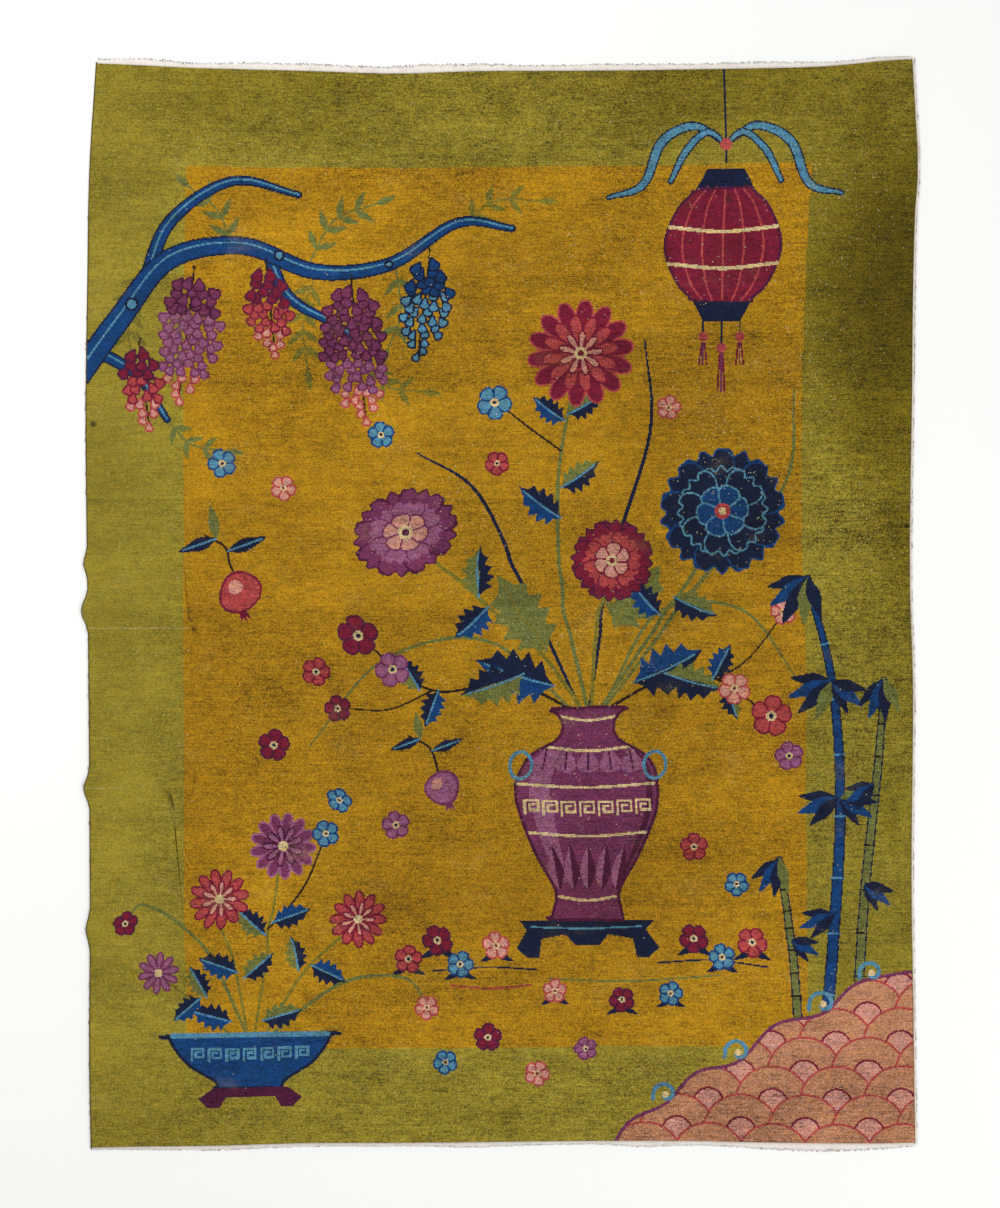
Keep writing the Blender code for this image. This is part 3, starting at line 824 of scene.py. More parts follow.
def ring_of(*point_sets):
    """The rim's lattice points, anticlockwise, with each one where a dye changes on the top or underneath."""
    corners = {(0, 0), (KNOTS_ACROSS, 0), (0, KNOTS_ALONG), (KNOTS_ACROSS, KNOTS_ALONG)}
    spaced = {(x, y) for x in range(0, KNOTS_ACROSS, RIM_SPACING) for y in (0, KNOTS_ALONG)}
    spaced |= {(x, y) for y in range(0, KNOTS_ALONG, RIM_SPACING) for x in (0, KNOTS_ACROSS)}
    for points in point_sets:
        spaced |= {(int(x), int(y)) for x, y in points if x in (0, KNOTS_ACROSS) or y in (0, KNOTS_ALONG)}
    found = corners | spaced
    low = sorted(p for p in found if p[1] == 0)
    right = sorted(p for p in found if p[0] == KNOTS_ACROSS and 0 < p[1] < KNOTS_ALONG)
    high = sorted((p for p in found if p[1] == KNOTS_ALONG), reverse=True)
    left = sorted((p for p in found if p[0] == 0 and 0 < p[1] < KNOTS_ALONG), reverse=True)
    return low + right + high + left


def make_pile():
    """The rug's closed mesh, and the lattice point and dye number that go with each face."""
    top_points, top_edges = dye_lines(chart.knots, 1, TOP_FREE_SPACING)
    under_chart = chart.knots[::UNDER_KNOTS, ::UNDER_KNOTS]
    under_points, under_edges = dye_lines(under_chart, UNDER_KNOTS, UNDER_FREE_SPACING)
    ring = ring_of(top_points, under_points)
    top_lattice, top_faces = triangulate(top_points, top_edges, ring)
    under_lattice, under_faces = triangulate(under_points, under_edges, ring)
    size = np.array([KNOTS_ACROSS, KNOTS_ALONG])
    places, lattices = [], []

    def add_points(lattice, row, swelling):
        across, up = (lattice / size).T
        x, y = on_plan(across, up, row.inset)
        z = lift_at(across, up) + row.share * PILE_HEIGHT + swelling * swell_at(x, y)
        places.append(np.column_stack([x, y, z]))
        lattices.append(lattice)

    add_points(top_lattice, RIM_ROWS[0], 1)
    ring_lattice = top_lattice[:len(ring)]
    for row in RIM_ROWS[1:-1]:
        add_points(ring_lattice, row, row.share)
    add_points(under_lattice, RIM_ROWS[-1], 0)
    starts = np.cumsum([0] + [len(lattice) for lattice in lattices])[:-1]
    here = np.arange(len(ring))
    there = np.roll(here, -1)
    rim_faces = []
    for upper, lower in zip(starts, starts[1:]):
        rim_faces.append(np.column_stack([lower + here, lower + there, upper + there, upper + here]))
    triangles = np.vstack([top_faces, under_faces[:, ::-1] + starts[-1]])
    quads = np.vstack(rim_faces)
    middles = np.vstack([
        top_lattice[top_faces].mean(1), under_lattice[under_faces].mean(1),
        np.tile((ring_lattice[here] + ring_lattice[there]) / 2, (len(rim_faces), 1)),
    ])
    columns, rows = np.clip(middles, 0.5, size - 0.5).astype(int).T
    dyes = chart.knots[rows, columns].astype(int)
    under = slice(len(top_faces), len(triangles))
    dyes[under] = under_chart[rows[under] // UNDER_KNOTS, columns[under] // UNDER_KNOTS]
    faces = triangles.tolist() + quads.tolist()
    return np.vstack(places), np.vstack(lattices), faces, dyes


def linear(dye):
    """A colour of 255 as the shader's own linear light."""
    share = np.asarray(dye) / 255
    return np.where(share < 0.04045, share / 12.92, ((share + 0.055) / 1.055) ** 2.4)


# Patches of painted light and shade on the pile, mixed with its real fading: darker to the right and in
# narrow bands at creases, lighter where the nap catches the light. Middle and reach in metres, and how much
# light is left.
Patch = namedtuple("Patch", "x y reach_x reach_y light")
BORDER_PATCHES = [Patch(*row) for row in [
    (1.35, 1.05, 0.66, 0.90, 0.36), (1.30, -0.50, 0.50, 1.60, 0.68), (0.70, 1.75, 1.10, 0.45, 0.68),
    (-1.25, -0.75, 0.35, 1.20, 1.05), (-0.70, 1.68, 1.00, 0.38, 0.74), (-0.6, -1.62, 0.7, 0.25, 0.95),
    (1.20, 0.55, 0.22, 0.30, 0.84), (1.28, 1.30, 0.20, 0.26, 0.80), (0.55, 1.60, 0.40, 0.16, 0.84),
    (0.03, -1.66, 0.05, 0.14, 0.80), (0.52, -1.68, 0.06, 0.12, 0.84), (1.22, -1.66, 0.07, 0.16, 0.82),
    (1.27, -0.64, 0.05, 0.28, 0.84), (-0.93, 1.68, 0.06, 0.13, 0.80), (0.02, 1.62, 0.06, 0.17, 0.82),
    (1.22, 1.62, 0.07, 0.18, 0.82), (-0.10, -1.66, 0.42, 0.06, 0.86), (0.90, -1.70, 0.42, 0.08, 0.84),
    (-1.18, 1.40, 0.28, 0.06, 0.84), (-0.55, 1.55, 0.20, 0.10, 0.88), (1.15, -1.25, 0.18, 0.22, 0.88),
    (-1.25, 0.45, 0.16, 0.22, 0.93), (-1.15, -0.30, 0.10, 0.40, 1.08), (0.25, -1.55, 0.30, 0.07, 1.10),
    (-0.75, 1.68, 0.16, 0.08, 1.10), (0.35, 1.66, 0.22, 0.07, 1.10), (1.12, 0.02, 0.14, 0.24, 1.06),
    (1.24, 0.90, 0.40, 0.60, 0.76), (1.26, 0.05, 0.24, 0.60, 0.90), (1.24, -0.50, 0.34, 0.90, 1.25),
    (-1.26, -0.60, 0.34, 0.70, 1.07), (1.30, 0.28, 0.10, 0.36, 0.72), (1.11, 0.30, 0.16, 0.40, 1.16),
    (0.00, 1.47, 0.62, 0.09, 0.84),
]]
FIELD_PATCHES = [Patch(*row) for row in [
    (0.80, 0.20, 0.55, 1.30, 0.88), (0.25, -0.95, 0.75, 0.35, 0.82), (0.45, 0.55, 0.30, 0.40, 0.87),
    (-0.55, 0.95, 0.60, 0.50, 1.06), (-0.75, -0.55, 0.35, 0.90, 1.04), (0.10, 1.15, 0.55, 0.22, 0.88),
    (0.75, 1.20, 0.22, 0.18, 0.84), (-0.15, -0.35, 0.25, 0.55, 1.06), (-0.10, 1.02, 0.10, 0.26, 0.84),
    (0.22, 0.82, 0.22, 0.12, 0.86), (0.50, -0.32, 0.20, 0.16, 0.84), (-0.30, -0.95, 0.30, 0.10, 0.86),
    (0.62, -0.82, 0.30, 0.12, 0.88), (-0.70, 0.30, 0.16, 0.34, 0.90), (0.30, 0.98, 0.30, 0.10, 1.12),
    (-0.35, 0.62, 0.24, 0.12, 1.10), (0.10, -1.12, 0.40, 0.10, 1.12), (-0.80, -1.05, 0.20, 0.30, 1.08),
    (0.88, -0.60, 0.12, 0.32, 1.10), (-0.55, -0.05, 0.12, 0.22, 1.08), (-0.80, 1.30, 0.20, 0.16, 0.88),
]]
# The same, for how far the knots are worn down to their cotton
WORN_PATCHES = [Patch(*row) for row in [
    (1.02, 0.78, 0.20, 0.34, 1.0), (0.76, 0.45, 0.30, 0.60, 0.7), (0.25, 1.10, 0.70, 0.26, 0.5),
    (-0.70, 1.50, 0.60, 0.18, 0.5), (1.20, 0.25, 0.16, 0.50, 0.6), (-0.15, 0.35, 0.45, 0.40, 0.4),
    (0.20, -0.30, 0.60, 0.70, 0.3), (0.95, -1.30, 0.35, 0.45, 0.35), (0.40, 1.55, 0.90, 0.20, 0.4),
    (1.10, 1.32, 0.36, 0.46, 0.6),
]]
# The same, for the pile's grain: the left side has kept the calmest face, the right border the roughest.
GRAIN_PATCHES = [Patch(*row) for row in [
    (-1.30, 0.00, 0.55, 3.00, 0.55), (1.25, 0.40, 0.50, 1.80, 1.42), (0.20, 1.72, 1.80, 0.50, 1.32),
    (0.00, -1.68, 1.40, 0.40, 1.20), (-0.20, 0.10, 1.10, 1.60, 0.85),
]]


def nearness(patch, x, y):
    """1 in the middle of a patch, down to 0 at its reach."""
    away = np.hypot((x - patch.x) / patch.reach_x, (y - patch.y) / patch.reach_y)
    return np.where(away < 1, np.cos(np.minimum(away, 1) * math.pi / 2) ** 2, 0)


def lit(patches, x, y):
    """How much is left after all the patches."""
    light = np.ones_like(x)
    for patch in patches:
        light *= 1 + (patch.light - 1) * nearness(patch, x, y)
    return light


def shade_at(x, y, dyes):
    """The painted light and shade, with real fading, of the wools at some places."""
    return np.where(dyes == DYE_NUMBER["olive"], lit(BORDER_PATCHES, x, y), lit(FIELD_PATCHES, x, y))


def new_mesh(name, points, faces):
    """A mesh with smooth shading."""
    mesh = bpy.data.meshes.new(name)
    mesh.from_pydata(np.asarray(points).tolist(), [], faces)
    mesh.polygons.foreach_set("use_smooth", np.ones(len(mesh.polygons), bool))
    mesh.update()
    return mesh


def add_piece(name, mesh, finish):
    """An object in the scene, in one material."""
    mesh.materials.clear()
    mesh.materials.append(finish)
    piece = bpy.data.objects.new(name, mesh)
    bpy.context.scene.collection.objects.link(piece)
    return piece


pile_points, pile_lattice, pile_faces, pile_dyes = make_pile()
pile_mesh = new_mesh("knotted_rug", pile_points, pile_faces)
corner_points = np.zeros(len(pile_mesh.loops), np.int32)
pile_mesh.loops.foreach_get("vertex_index", corner_points)
corner_faces = np.repeat(np.arange(len(pile_faces)), [len(face) for face in pile_faces])
corner_x, corner_y = pile_points[corner_points, 0], pile_points[corner_points, 1]
dye_colours = np.array([[*linear(dye), 1] for dye in DYES.values()])
corner_dyes = pile_dyes[corner_faces]
corner_values = {
    "shade": shade_at(corner_x, corner_y, corner_dyes),
    "worn": sum(patch.light * nearness(patch, corner_x, corner_y) for patch in WORN_PATCHES),
    "grain": lit(GRAIN_PATCHES, corner_x, corner_y),
}
for name, values in corner_values.items():
    pile_mesh.attributes.new(name, "FLOAT", "CORNER").data.foreach_set("value", values)
pile_mesh.color_attributes.new("dye", "FLOAT_COLOR", "CORNER").data.foreach_set(
    "color", dye_colours[corner_dyes].ravel()
)
pile_mesh.uv_layers.new(name="knots").data.foreach_set("uv", pile_lattice[corner_points].ravel())


class Wire:
    """A socket that takes part in Python arithmetic, which adds its Math nodes."""

    def __init__(self, nodes, socket):
        self.nodes, self.socket = nodes, socket

    def math(self, operation, first, second):
        return self.nodes.add("ShaderNodeMath", {"operation": operation}, {0: first, 1: second})

    def __add__(self, other):
        return self.math("ADD", self, other)

    def __sub__(self, other):
        return self.math("SUBTRACT", self, other)

    def __rsub__(self, other):
        return self.math("SUBTRACT", other, self)

    def __mul__(self, other):
        return self.math("MULTIPLY", self, other)

    def __pow__(self, other):
        return self.math("POWER", self, other)

    def __lt__(self, other):
        return self.math("LESS_THAN", self, other)

    def __gt__(self, other):
        return self.math("GREATER_THAN", self, other)

    def __abs__(self):
        return self.math("ABSOLUTE", self, 0)

    __radd__ = __add__
    __rmul__ = __mul__


class Nodes:
    """Adds nodes to a tree, for a finish or for a form that repeats."""

    def __init__(self, tree):
        self.tree = tree

    def add(self, kind, settings=None, inputs=None, output=0):
        """Adds one node. Its settings come first, then the value or the wire of each of its sockets."""
        node = self.tree.nodes.new(kind)
        for name, value in (settings or {}).items():
            setattr(node, name, value)
        for name, value in (inputs or {}).items():
            socket = self.socket(node.inputs, name)
            if isinstance(value, Wire):
                self.tree.links.new(value.socket, socket)
            else:
                socket.default_value = value
        return Wire(self, self.socket(node.outputs, output))

    def socket(self, sockets, name):
        if isinstance(name, int):
            return sockets[name]
        return next(s for s in sockets if name in (s.identifier, s.name))

    def blend(self, share, first, second):
        """A colour between two."""
        colours = {"Factor_Float": share, "A_Color": first, "B_Color": second}
        return self.add("ShaderNodeMix", {"data_type": "RGBA"}, colours, "Result_Color")

    def vectors(self, operation, *inputs, output=0):
        """Vector Math on one or two colours or vectors."""
        return self.add("ShaderNodeVectorMath", {"operation": operation}, dict(enumerate(inputs)), output)

    def scaled(self, colour, amount):
        """A colour or vector times a number."""
        return self.add("ShaderNodeVectorMath", {"operation": "SCALE"}, {0: colour, "Scale": amount})

    def wander(self, place, scale, detail, reach):
        """A vector of noise about 0, which goes half of reach either way."""
        sockets = {"Vector": place, "Scale": scale, "Detail": detail}
        noise = self.add("ShaderNodeTexNoise", None, sockets, "Color")
        return self.vectors("MULTIPLY", self.vectors("SUBTRACT", noise, (0.5, 0.5, 0.5)), reach)

    def between(self, value, low, high, start=0.0, end=1.0):
        """A smooth step from start to end as value goes from low to high."""
        sockets = {"Value": value, "From Min": low, "From Max": high, "To Min": start, "To Max": end}
        return self.add("ShaderNodeMapRange", {"interpolation_type": "SMOOTHSTEP"}, sockets)


# A pattern is noise, whose scale is one number or one for each axis. Blotches are noise too, and take the
# values from start to end where the noise lies from low to high.
Pattern = namedtuple("Pattern", "strength scale detail roughness", defaults=(2, 0.5))
Blotches = namedtuple("Blotches", "scale detail roughness low high start end")
SHEEN_ROUGHNESS = 0.5
SHINE = 0.2


class Finish(Nodes):
    """A material for yarn, with its nodes."""

    def __init__(self, name, roughness, sheen, sheen_tint):
        self.material = bpy.data.materials.new(name)
        self.material.use_nodes = True
        super().__init__(self.material.node_tree)
        self.shader = self.tree.nodes["Principled BSDF"]
        looks = {
            "Roughness": roughness, "Sheen Weight": sheen, "Sheen Roughness": SHEEN_ROUGHNESS,
            "Sheen Tint": (*sheen_tint, 1), "Specular IOR Level": SHINE,
        }
        for socket_name, value in looks.items():
            self.shader.inputs[socket_name].default_value = value
        self.place = self.add("ShaderNodeTexCoord", None, None, "Object")

    def attribute(self, name, output="Fac"):
        return self.add("ShaderNodeAttribute", {"attribute_name": name}, None, output)

    def noise(self, scale, detail, roughness):
        """Noise about 0, between roughly -1 and 1."""
        place = self.place
        if isinstance(scale, tuple):
            place, scale = self.add("ShaderNodeMapping", None, {"Vector": place, "Scale": scale}), 1
        sockets = {"Vector": place, "Scale": scale, "Detail": detail, "Roughness": roughness}
        return (self.add("ShaderNodeTexNoise", None, sockets) - 0.5) * 3

    def patterned(self, *patterns):
        """The sum of some patterns."""
        return sum(self.noise(*pattern[1:]) * pattern.strength for pattern in patterns)

    def blotched(self, blotches):
        """The values that some blotches give."""
        scale, detail, roughness, *steps = blotches
        return self.between(self.noise(scale, detail, roughness), *steps)

    def close(self, colour, relief, depth):
        """Joins the varying colour, and a relief that is depth metres deep."""
        sockets = {"Strength": 1.0, "Distance": depth, "Height": relief}
        bump = self.add("ShaderNodeBump", None, sockets, "Normal")
        self.tree.links.new(colour.socket, self.shader.inputs["Base Color"])
        self.tree.links.new(bump.socket, self.shader.inputs["Normal"])


# The wool's finish: one tone to each knot, streaks along the rows, cloudy dye lots and a worn nap
KNOT_TONE = 0.40
GRAIN = [
    Pattern(0.20, (9, 10, 1), 4, 0.6), Pattern(0.24, (26, 44, 1), 3, 0.6),
    Pattern(0.44, (14, 230, 1), 2, 0.6), Pattern(0.16, (1.6, 48, 1), 3, 0.6),
    Pattern(0.28, (75, 190, 1), 2, 0.6),
]
CLOUDS = [Pattern(0.26, (1.7, 2.1, 1), 3), Pattern(0.24, (4.2, 6.0, 1), 4, 0.6)]
ROW_LINES = Blotches((2.2, 170, 1), 1, 0.5, 0.7, 1.1, 0, 0.28)
BANDS_A_METRE = 5.5
BAND_START = 0.06
BAND_TONE = 0.09
# A knot's cut end is rounded, and its fibres splay over the knots beside it, by this share of a knot.
SPLAY = 0.45
SPLAY_SCALE = 380.0
# How strongly painted shade darkens each knot towards its edge, where its rounded end falls away
KNOT_EDGE_SHADE = 0.75
MEAN_HOLLOW = 1 / 6
FIBRES = Pattern(1, (900, 1300, 900), 1)
FIBRE_TONE = 0.10
HUES = Pattern(1, (24, 52, 1), 4, 0.65)
KNOT_HUE = 0.8
HUE_SHIFT = (0.10, -0.02, -0.34)
FADING = Blotches((5, 7, 1), 4, 0.65, 0.1, 1.1, 0, 0.28)
LEAST_FADED = 0.4
FADED_WOOL = (0.36, 0.27, 0.10)
# Where the painted shade and fading are deepest, the wool is tinted darker and warmer.
DARKEST_SHADE = 0.3
SHADE_AND_FADING_TINT = (1.0, 0.94, 0.20, 1)
WHITE = (1, 1, 1, 1)
# Knots worn down to the cotton
WEAR_CLUSTERS = Blotches((11, 26, 1), 4, 0.7, 0, 0.9, 0.08, 1.4)
BARE_IN_CLUSTERS = 0.17
BARE_ANYWHERE = 0.0012
LEAST_BARED = 0.15
MORE_BARED = 0.6
BARE_COTTON = (0.62, 0.54, 0.30, 1)
SOIL = (0.030, 0.018, 0.006, 1)
SPOT_CORE = 0.3
SPOT_EDGE = Pattern(2 * MM, 70)
Spot = namedtuple("Spot", "x y radius strength")
SPOTS = [
    Spot(-1.330, 0.597, 0.016, 0.8), Spot(0.747, 1.332, 0.018, 0.55), Spot(-0.42, 1.52, 0.012, 0.35),
    Spot(0.30, -1.18, 0.020, 0.30), Spot(1.12, 0.93, 0.022, 0.4),
]
# Thin pale mends along the rows: height, first and last place across, and strength
Mend = namedtuple("Mend", "y start stop strength")
MENDS = [Mend(-0.070, -1.40, -1.02, 0.34), Mend(-0.592, -1.40, -1.21, 0.22)]
MEND_CORE = 0.8 * MM
MEND_REACH = 3.2 * MM
MEND_DRIFT = Pattern(2 * MM, (9, 0, 0), 3)
MEND_WEAR = Blotches((34, 1, 1), 3, 0.6, -0.7, 0.8, 0.2, 1.2)
NAP = [Pattern(0.25, (30, 260, 1), 3), Pattern(0.9, (45, 45, 1), 4)]
KNOT_RELIEF = 0.5
HOLLOW_RELIEF = 1.2
FIBRE_RELIEF = 0.12
PILE_RELIEF = 1.2 * MM

wool = Finish("dyed_wool_pile", roughness=0.95, sheen=0.06, sheen_tint=(0.9, 0.75, 0.4))
across, along = (wool.add("ShaderNodeSeparateXYZ", None, {0: wool.place}, axis) for axis in ("X", "Y"))
splay = wool.wander(wool.place, SPLAY_SCALE, 2.0, (2 * SPLAY, 2 * SPLAY, 0))
knot_place = wool.vectors("ADD", wool.add("ShaderNodeUVMap", {"uv_map": "knots"}), splay)
knot = wool.vectors("FLOOR", knot_place)
within = wool.vectors("FRACTION", knot_place)
hollow = wool.vectors("DISTANCE", within, (0.5, 0.5, 0), output="Value") ** 2 - MEAN_HOLLOW
fibres = wool.patterned(FIBRES)


def knot_chance(scale):
    """A number from 0 to 1 for each knot. Each scale gives other numbers."""
    sockets = {"Vector": wool.scaled(knot, scale)}
    return wool.add("ShaderNodeTexWhiteNoise", {"noise_dimensions": "2D"}, sockets)


knot_tone = knot_chance(1) - 0.5
grain = knot_tone * (2 * KNOT_TONE) + wool.patterned(*GRAIN) - wool.blotched(ROW_LINES)
band = wool.add("ShaderNodeMath", {"operation": "FLOOR"}, {0: along * BANDS_A_METRE + BAND_START})
band = wool.add("ShaderNodeTexWhiteNoise", {"noise_dimensions": "1D"}, {"W": band}) - 0.5
tone = 1 + grain * wool.attribute("grain") + wool.patterned(*CLOUDS) + band * (2 * BAND_TONE)
# Painted shade darkens each knot towards its edge, and the shade attribute paints light and shade, with
# fading, over the pile.
tone = (tone - hollow * KNOT_EDGE_SHADE + fibres * FIBRE_TONE) * wool.attribute("shade")
hue = wool.patterned(HUES) + (knot_chance(2.3) - 0.5) * KNOT_HUE
tint = wool.add("ShaderNodeCombineXYZ", None, dict(zip("XYZ", [1 + hue * shift for shift in HUE_SHIFT])))
colour = wool.vectors("MULTIPLY", wool.scaled(wool.attribute("dye", "Color"), tone), tint)
faded = wool.blotched(FADING) * (LEAST_FADED + knot_chance(3.1))
colour = wool.blend(faded, colour, wool.scaled(FADED_WOOL, tone))
# The wool is tinted darker and warmer where the painted shade and fading are deepest.
lightness = wool.between(wool.attribute("shade"), DARKEST_SHADE, 1)
colour = wool.vectors("MULTIPLY", colour, wool.blend(lightness, SHADE_AND_FADING_TINT, WHITE))

# Pale specks of bare cotton lie where the rug has had most wear.
bared = wool.attribute("worn") * wool.blotched(WEAR_CLUSTERS) * BARE_IN_CLUSTERS + BARE_ANYWHERE
bare = knot_chance(1.37) > 1 - bared
colour = wool.blend(bare * (LEAST_BARED + knot_chance(4.7) * MORE_BARED), colour, BARE_COTTON)
for spot in SPOTS:
    away = wool.vectors("DISTANCE", wool.place, (spot.x, spot.y, PILE_HEIGHT), output="Value")
    away = away + wool.patterned(SPOT_EDGE)
    soiled = wool.between(away, spot.radius * SPOT_CORE, spot.radius, spot.strength, 0)
    colour = wool.blend(soiled, colour, SOIL)
for mend in MENDS:
    off = abs(along - mend.y + wool.patterned(MEND_DRIFT))
    held = wool.between(off, MEND_CORE, MEND_REACH, mend.strength, 0) * wool.blotched(MEND_WEAR)
    colour = wool.blend(held * (across > mend.start) * (across < mend.stop), colour, BARE_COTTON)
relief = knot_tone * KNOT_RELIEF + wool.patterned(*NAP) - hollow * HOLLOW_RELIEF + fibres * FIBRE_RELIEF
wool.close(colour, relief, PILE_RELIEF)

knotted_rug = add_piece("knotted_rug_pile", pile_mesh, wool.material)
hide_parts("knotted_rug")
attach(knotted_rug, "root")

# The cut ends of the outermost knots lean out over the rim in short tufts, in their own dyes.
TUFTS_A_KNOT = 3
TUFT_LENGTH = 3.2 * MM
TUFT_RADIUS = 0.7 * MM
TUFT_INSET = 1.2 * MM
TUFT_SPREAD = 0.6
TUFT_SIZES = (0.6, 1.25)
TUFT_HEIGHTS = (0.3, 0.95)
TUFT_TONES = (0.7, 1.15)
HIGHEST_TUFT = 0.92
TUFT_RISE = 0.9
TUFT_GRAIN = Pattern(0.15, 300)
TUFT_RELIEF = Pattern(1, 900)
STRAND_DEPTH = 0.2 * MM
TUFT_SEED = 5


class Form(Nodes):
    """A Geometry Nodes tree for what repeats, with named inputs for its sizes and its finish."""

    def __init__(self, name, **sizes):
        tree = bpy.data.node_groups.new(name, "GeometryNodeTree")
        super().__init__(tree)
        tree.interface.new_socket("Geometry", in_out="OUTPUT", socket_type="NodeSocketGeometry")
        tree.interface.new_socket("Geometry", in_out="INPUT", socket_type="NodeSocketGeometry")
        tree.interface.new_socket("Finish", in_out="INPUT", socket_type="NodeSocketMaterial")
        for size, value in sizes.items():
            socket = tree.interface.new_socket(size, in_out="INPUT", socket_type="NodeSocketFloat")
            socket.default_value = value
        self.group = tree.nodes.new("NodeGroupInput")

    def given(self, name):
        return Wire(self, self.group.outputs[name])

    def named(self, name, kind="FLOAT"):
        return self.add("GeometryNodeInputNamedAttribute", {"data_type": kind}, {"Name": name}, "Attribute")

    def chance(self, low, high, seed):
        sockets = {"Min_001": low, "Max_001": high, "Seed": seed}
        return self.add("FunctionNodeRandomValue", {"data_type": "FLOAT"}, sockets, "Value_001")

    def chance_vector(self, reach, seed):
        sockets = {"Min": (-reach,) * 3, "Max": (reach,) * 3, "Seed": seed}
        return self.add("FunctionNodeRandomValue", {"data_type": "FLOAT_VECTOR"}, sockets, "Value")

    def vector(self, x, y, z):
        return self.add("ShaderNodeCombineXYZ", None, {"X": x, "Y": y, "Z": z})

    def spread(self, instance, rotation, scale):
        points = self.given("Geometry")
        sockets = {"Points": points, "Instance": instance, "Rotation": rotation, "Scale": scale}
        return self.add("GeometryNodeInstanceOnPoints", None, sockets)

    def close(self, geometry):
        whole_form = self.add("GeometryNodeRealizeInstances", None, {"Geometry": geometry})
        sockets = {"Geometry": whole_form, "Material": self.given("Finish")}
        finished = self.add("GeometryNodeSetMaterial", None, sockets)
        output = self.tree.nodes.new("NodeGroupOutput")
        self.tree.links.new(finished.socket, output.inputs["Geometry"])


def seed_points(name, places, **values):
    """Points for a form to grow on, with a named number, vector or colour for each."""
    seeds = bpy.data.meshes.new(name)
    seeds.from_pydata(np.asarray(places).tolist(), [], [])
    for value_name, numbers in values.items():
        numbers = np.asarray(numbers, float)
        width = 1 if numbers.ndim == 1 else numbers.shape[1]
        kind, key = {1: ("FLOAT", "value"), 3: ("FLOAT_VECTOR", "vector"), 4: ("FLOAT_COLOR", "color")}[width]
        seeds.attributes.new(value_name, kind, "POINT").data.foreach_set(key, numbers.ravel())
    return seeds


def grown(seeds, form, finish, **sizes):
    """The plain mesh that a form makes on its seed points."""
    carrier = bpy.data.objects.new(seeds.name, seeds)
    bpy.context.scene.collection.objects.link(carrier)
    modifier = carrier.modifiers.new("form", "NODES")
    modifier.node_group = form.tree
    values = {"Finish": finish, **sizes}
    for item in form.tree.interface.items_tree:
        if item.in_out == "INPUT" and item.name in values:
            modifier[item.identifier] = values[item.name]
    evaluated = carrier.evaluated_get(bpy.context.evaluated_depsgraph_get())
    made = bpy.data.meshes.new_from_object(evaluated)
    carrier.modifiers.remove(modifier)
    bpy.data.objects.remove(carrier)
    return made


tuft_form = Form("rim_tuft", Length=TUFT_LENGTH, Radius=TUFT_RADIUS)
sizes = {"Radius Top": 0.0, "Radius Bottom": tuft_form.given("Radius"), "Depth": tuft_form.given("Length")}
cone = tuft_form.add("GeometryNodeMeshCone", {"fill_type": "NGON"}, {"Vertices": 3, **sizes})
heading = tuft_form.named("out", "FLOAT_VECTOR")
heading = tuft_form.vectors("ADD", heading, tuft_form.chance_vector(TUFT_SPREAD, TUFT_SEED))
turned_out = tuft_form.add("FunctionNodeAlignRotationToVector", {"axis": "Z"}, {"Vector": heading})
tuft_form.close(tuft_form.spread(cone, turned_out, tuft_form.chance(*TUFT_SIZES, TUFT_SEED + 1)))

# Each tuft's share of the rug's width and length, side by side round the rim
chance = np.random.default_rng(TUFT_SEED)
rim_shares = []
for knots, fixed, is_end in [
    (KNOTS_ACROSS, 0, True), (KNOTS_ALONG, 1, False), (KNOTS_ACROSS, 1, True), (KNOTS_ALONG, 0, False),
]:
    count = knots * TUFTS_A_KNOT
    run = (np.arange(count) + chance.uniform(0, 1, count)) / count
    held = np.full(count, float(fixed))
    rim_shares.append(np.column_stack([run, held] if is_end else [held, run]))
tuft_shares = np.vstack(rim_shares)
tuft_across, tuft_up = tuft_shares.T
tuft_height = chance.uniform(*TUFT_HEIGHTS, len(tuft_shares))
tuft_x, tuft_y = on_plan(tuft_across, tuft_up, TUFT_INSET)
edge_x, edge_y = on_plan(tuft_across, tuft_up)
tuft_z = lift_at(tuft_across, tuft_up) + tuft_height * PILE_HEIGHT * HIGHEST_TUFT
outwards = np.column_stack([edge_x - tuft_x, edge_y - tuft_y, np.zeros(len(tuft_x))])
outwards /= np.linalg.norm(outwards, axis=1)[:, None]
outwards[:, 2] = TUFT_RISE * tuft_height**2
last_knot = [KNOTS_ACROSS - 1, KNOTS_ALONG - 1]
tuft_column, tuft_row = np.clip((tuft_shares * [KNOTS_ACROSS, KNOTS_ALONG]).astype(int), 0, last_knot).T
tuft_dyes = chart.knots[tuft_row, tuft_column]
# Each tuft takes the painted light and shade, with fading, of the pile beside it, and a random tone.
tuft_light = shade_at(tuft_x, tuft_y, tuft_dyes) * chance.uniform(*TUFT_TONES, len(tuft_dyes))

tuft_wool = Finish("dyed_wool_tuft", roughness=0.95, sheen=0.25, sheen_tint=(0.9, 0.8, 0.55))
tone = tuft_wool.attribute("light") * (1 + tuft_wool.patterned(TUFT_GRAIN))
colour = tuft_wool.scaled(tuft_wool.attribute("dye", "Color"), tone)
tuft_wool.close(colour, tuft_wool.patterned(TUFT_RELIEF), STRAND_DEPTH)

tuft_places = np.column_stack([tuft_x, tuft_y, tuft_z])
tuft_seeds = seed_points(
    "rim_tufts", tuft_places, out=outwards, dye=dye_colours[tuft_dyes], light=tuft_light
)
tuft_mesh = grown(tuft_seeds, tuft_form, tuft_wool.material)
rim_tufts = add_piece("rim_tufts", tuft_mesh, tuft_wool.material)
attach(rim_tufts, "root")

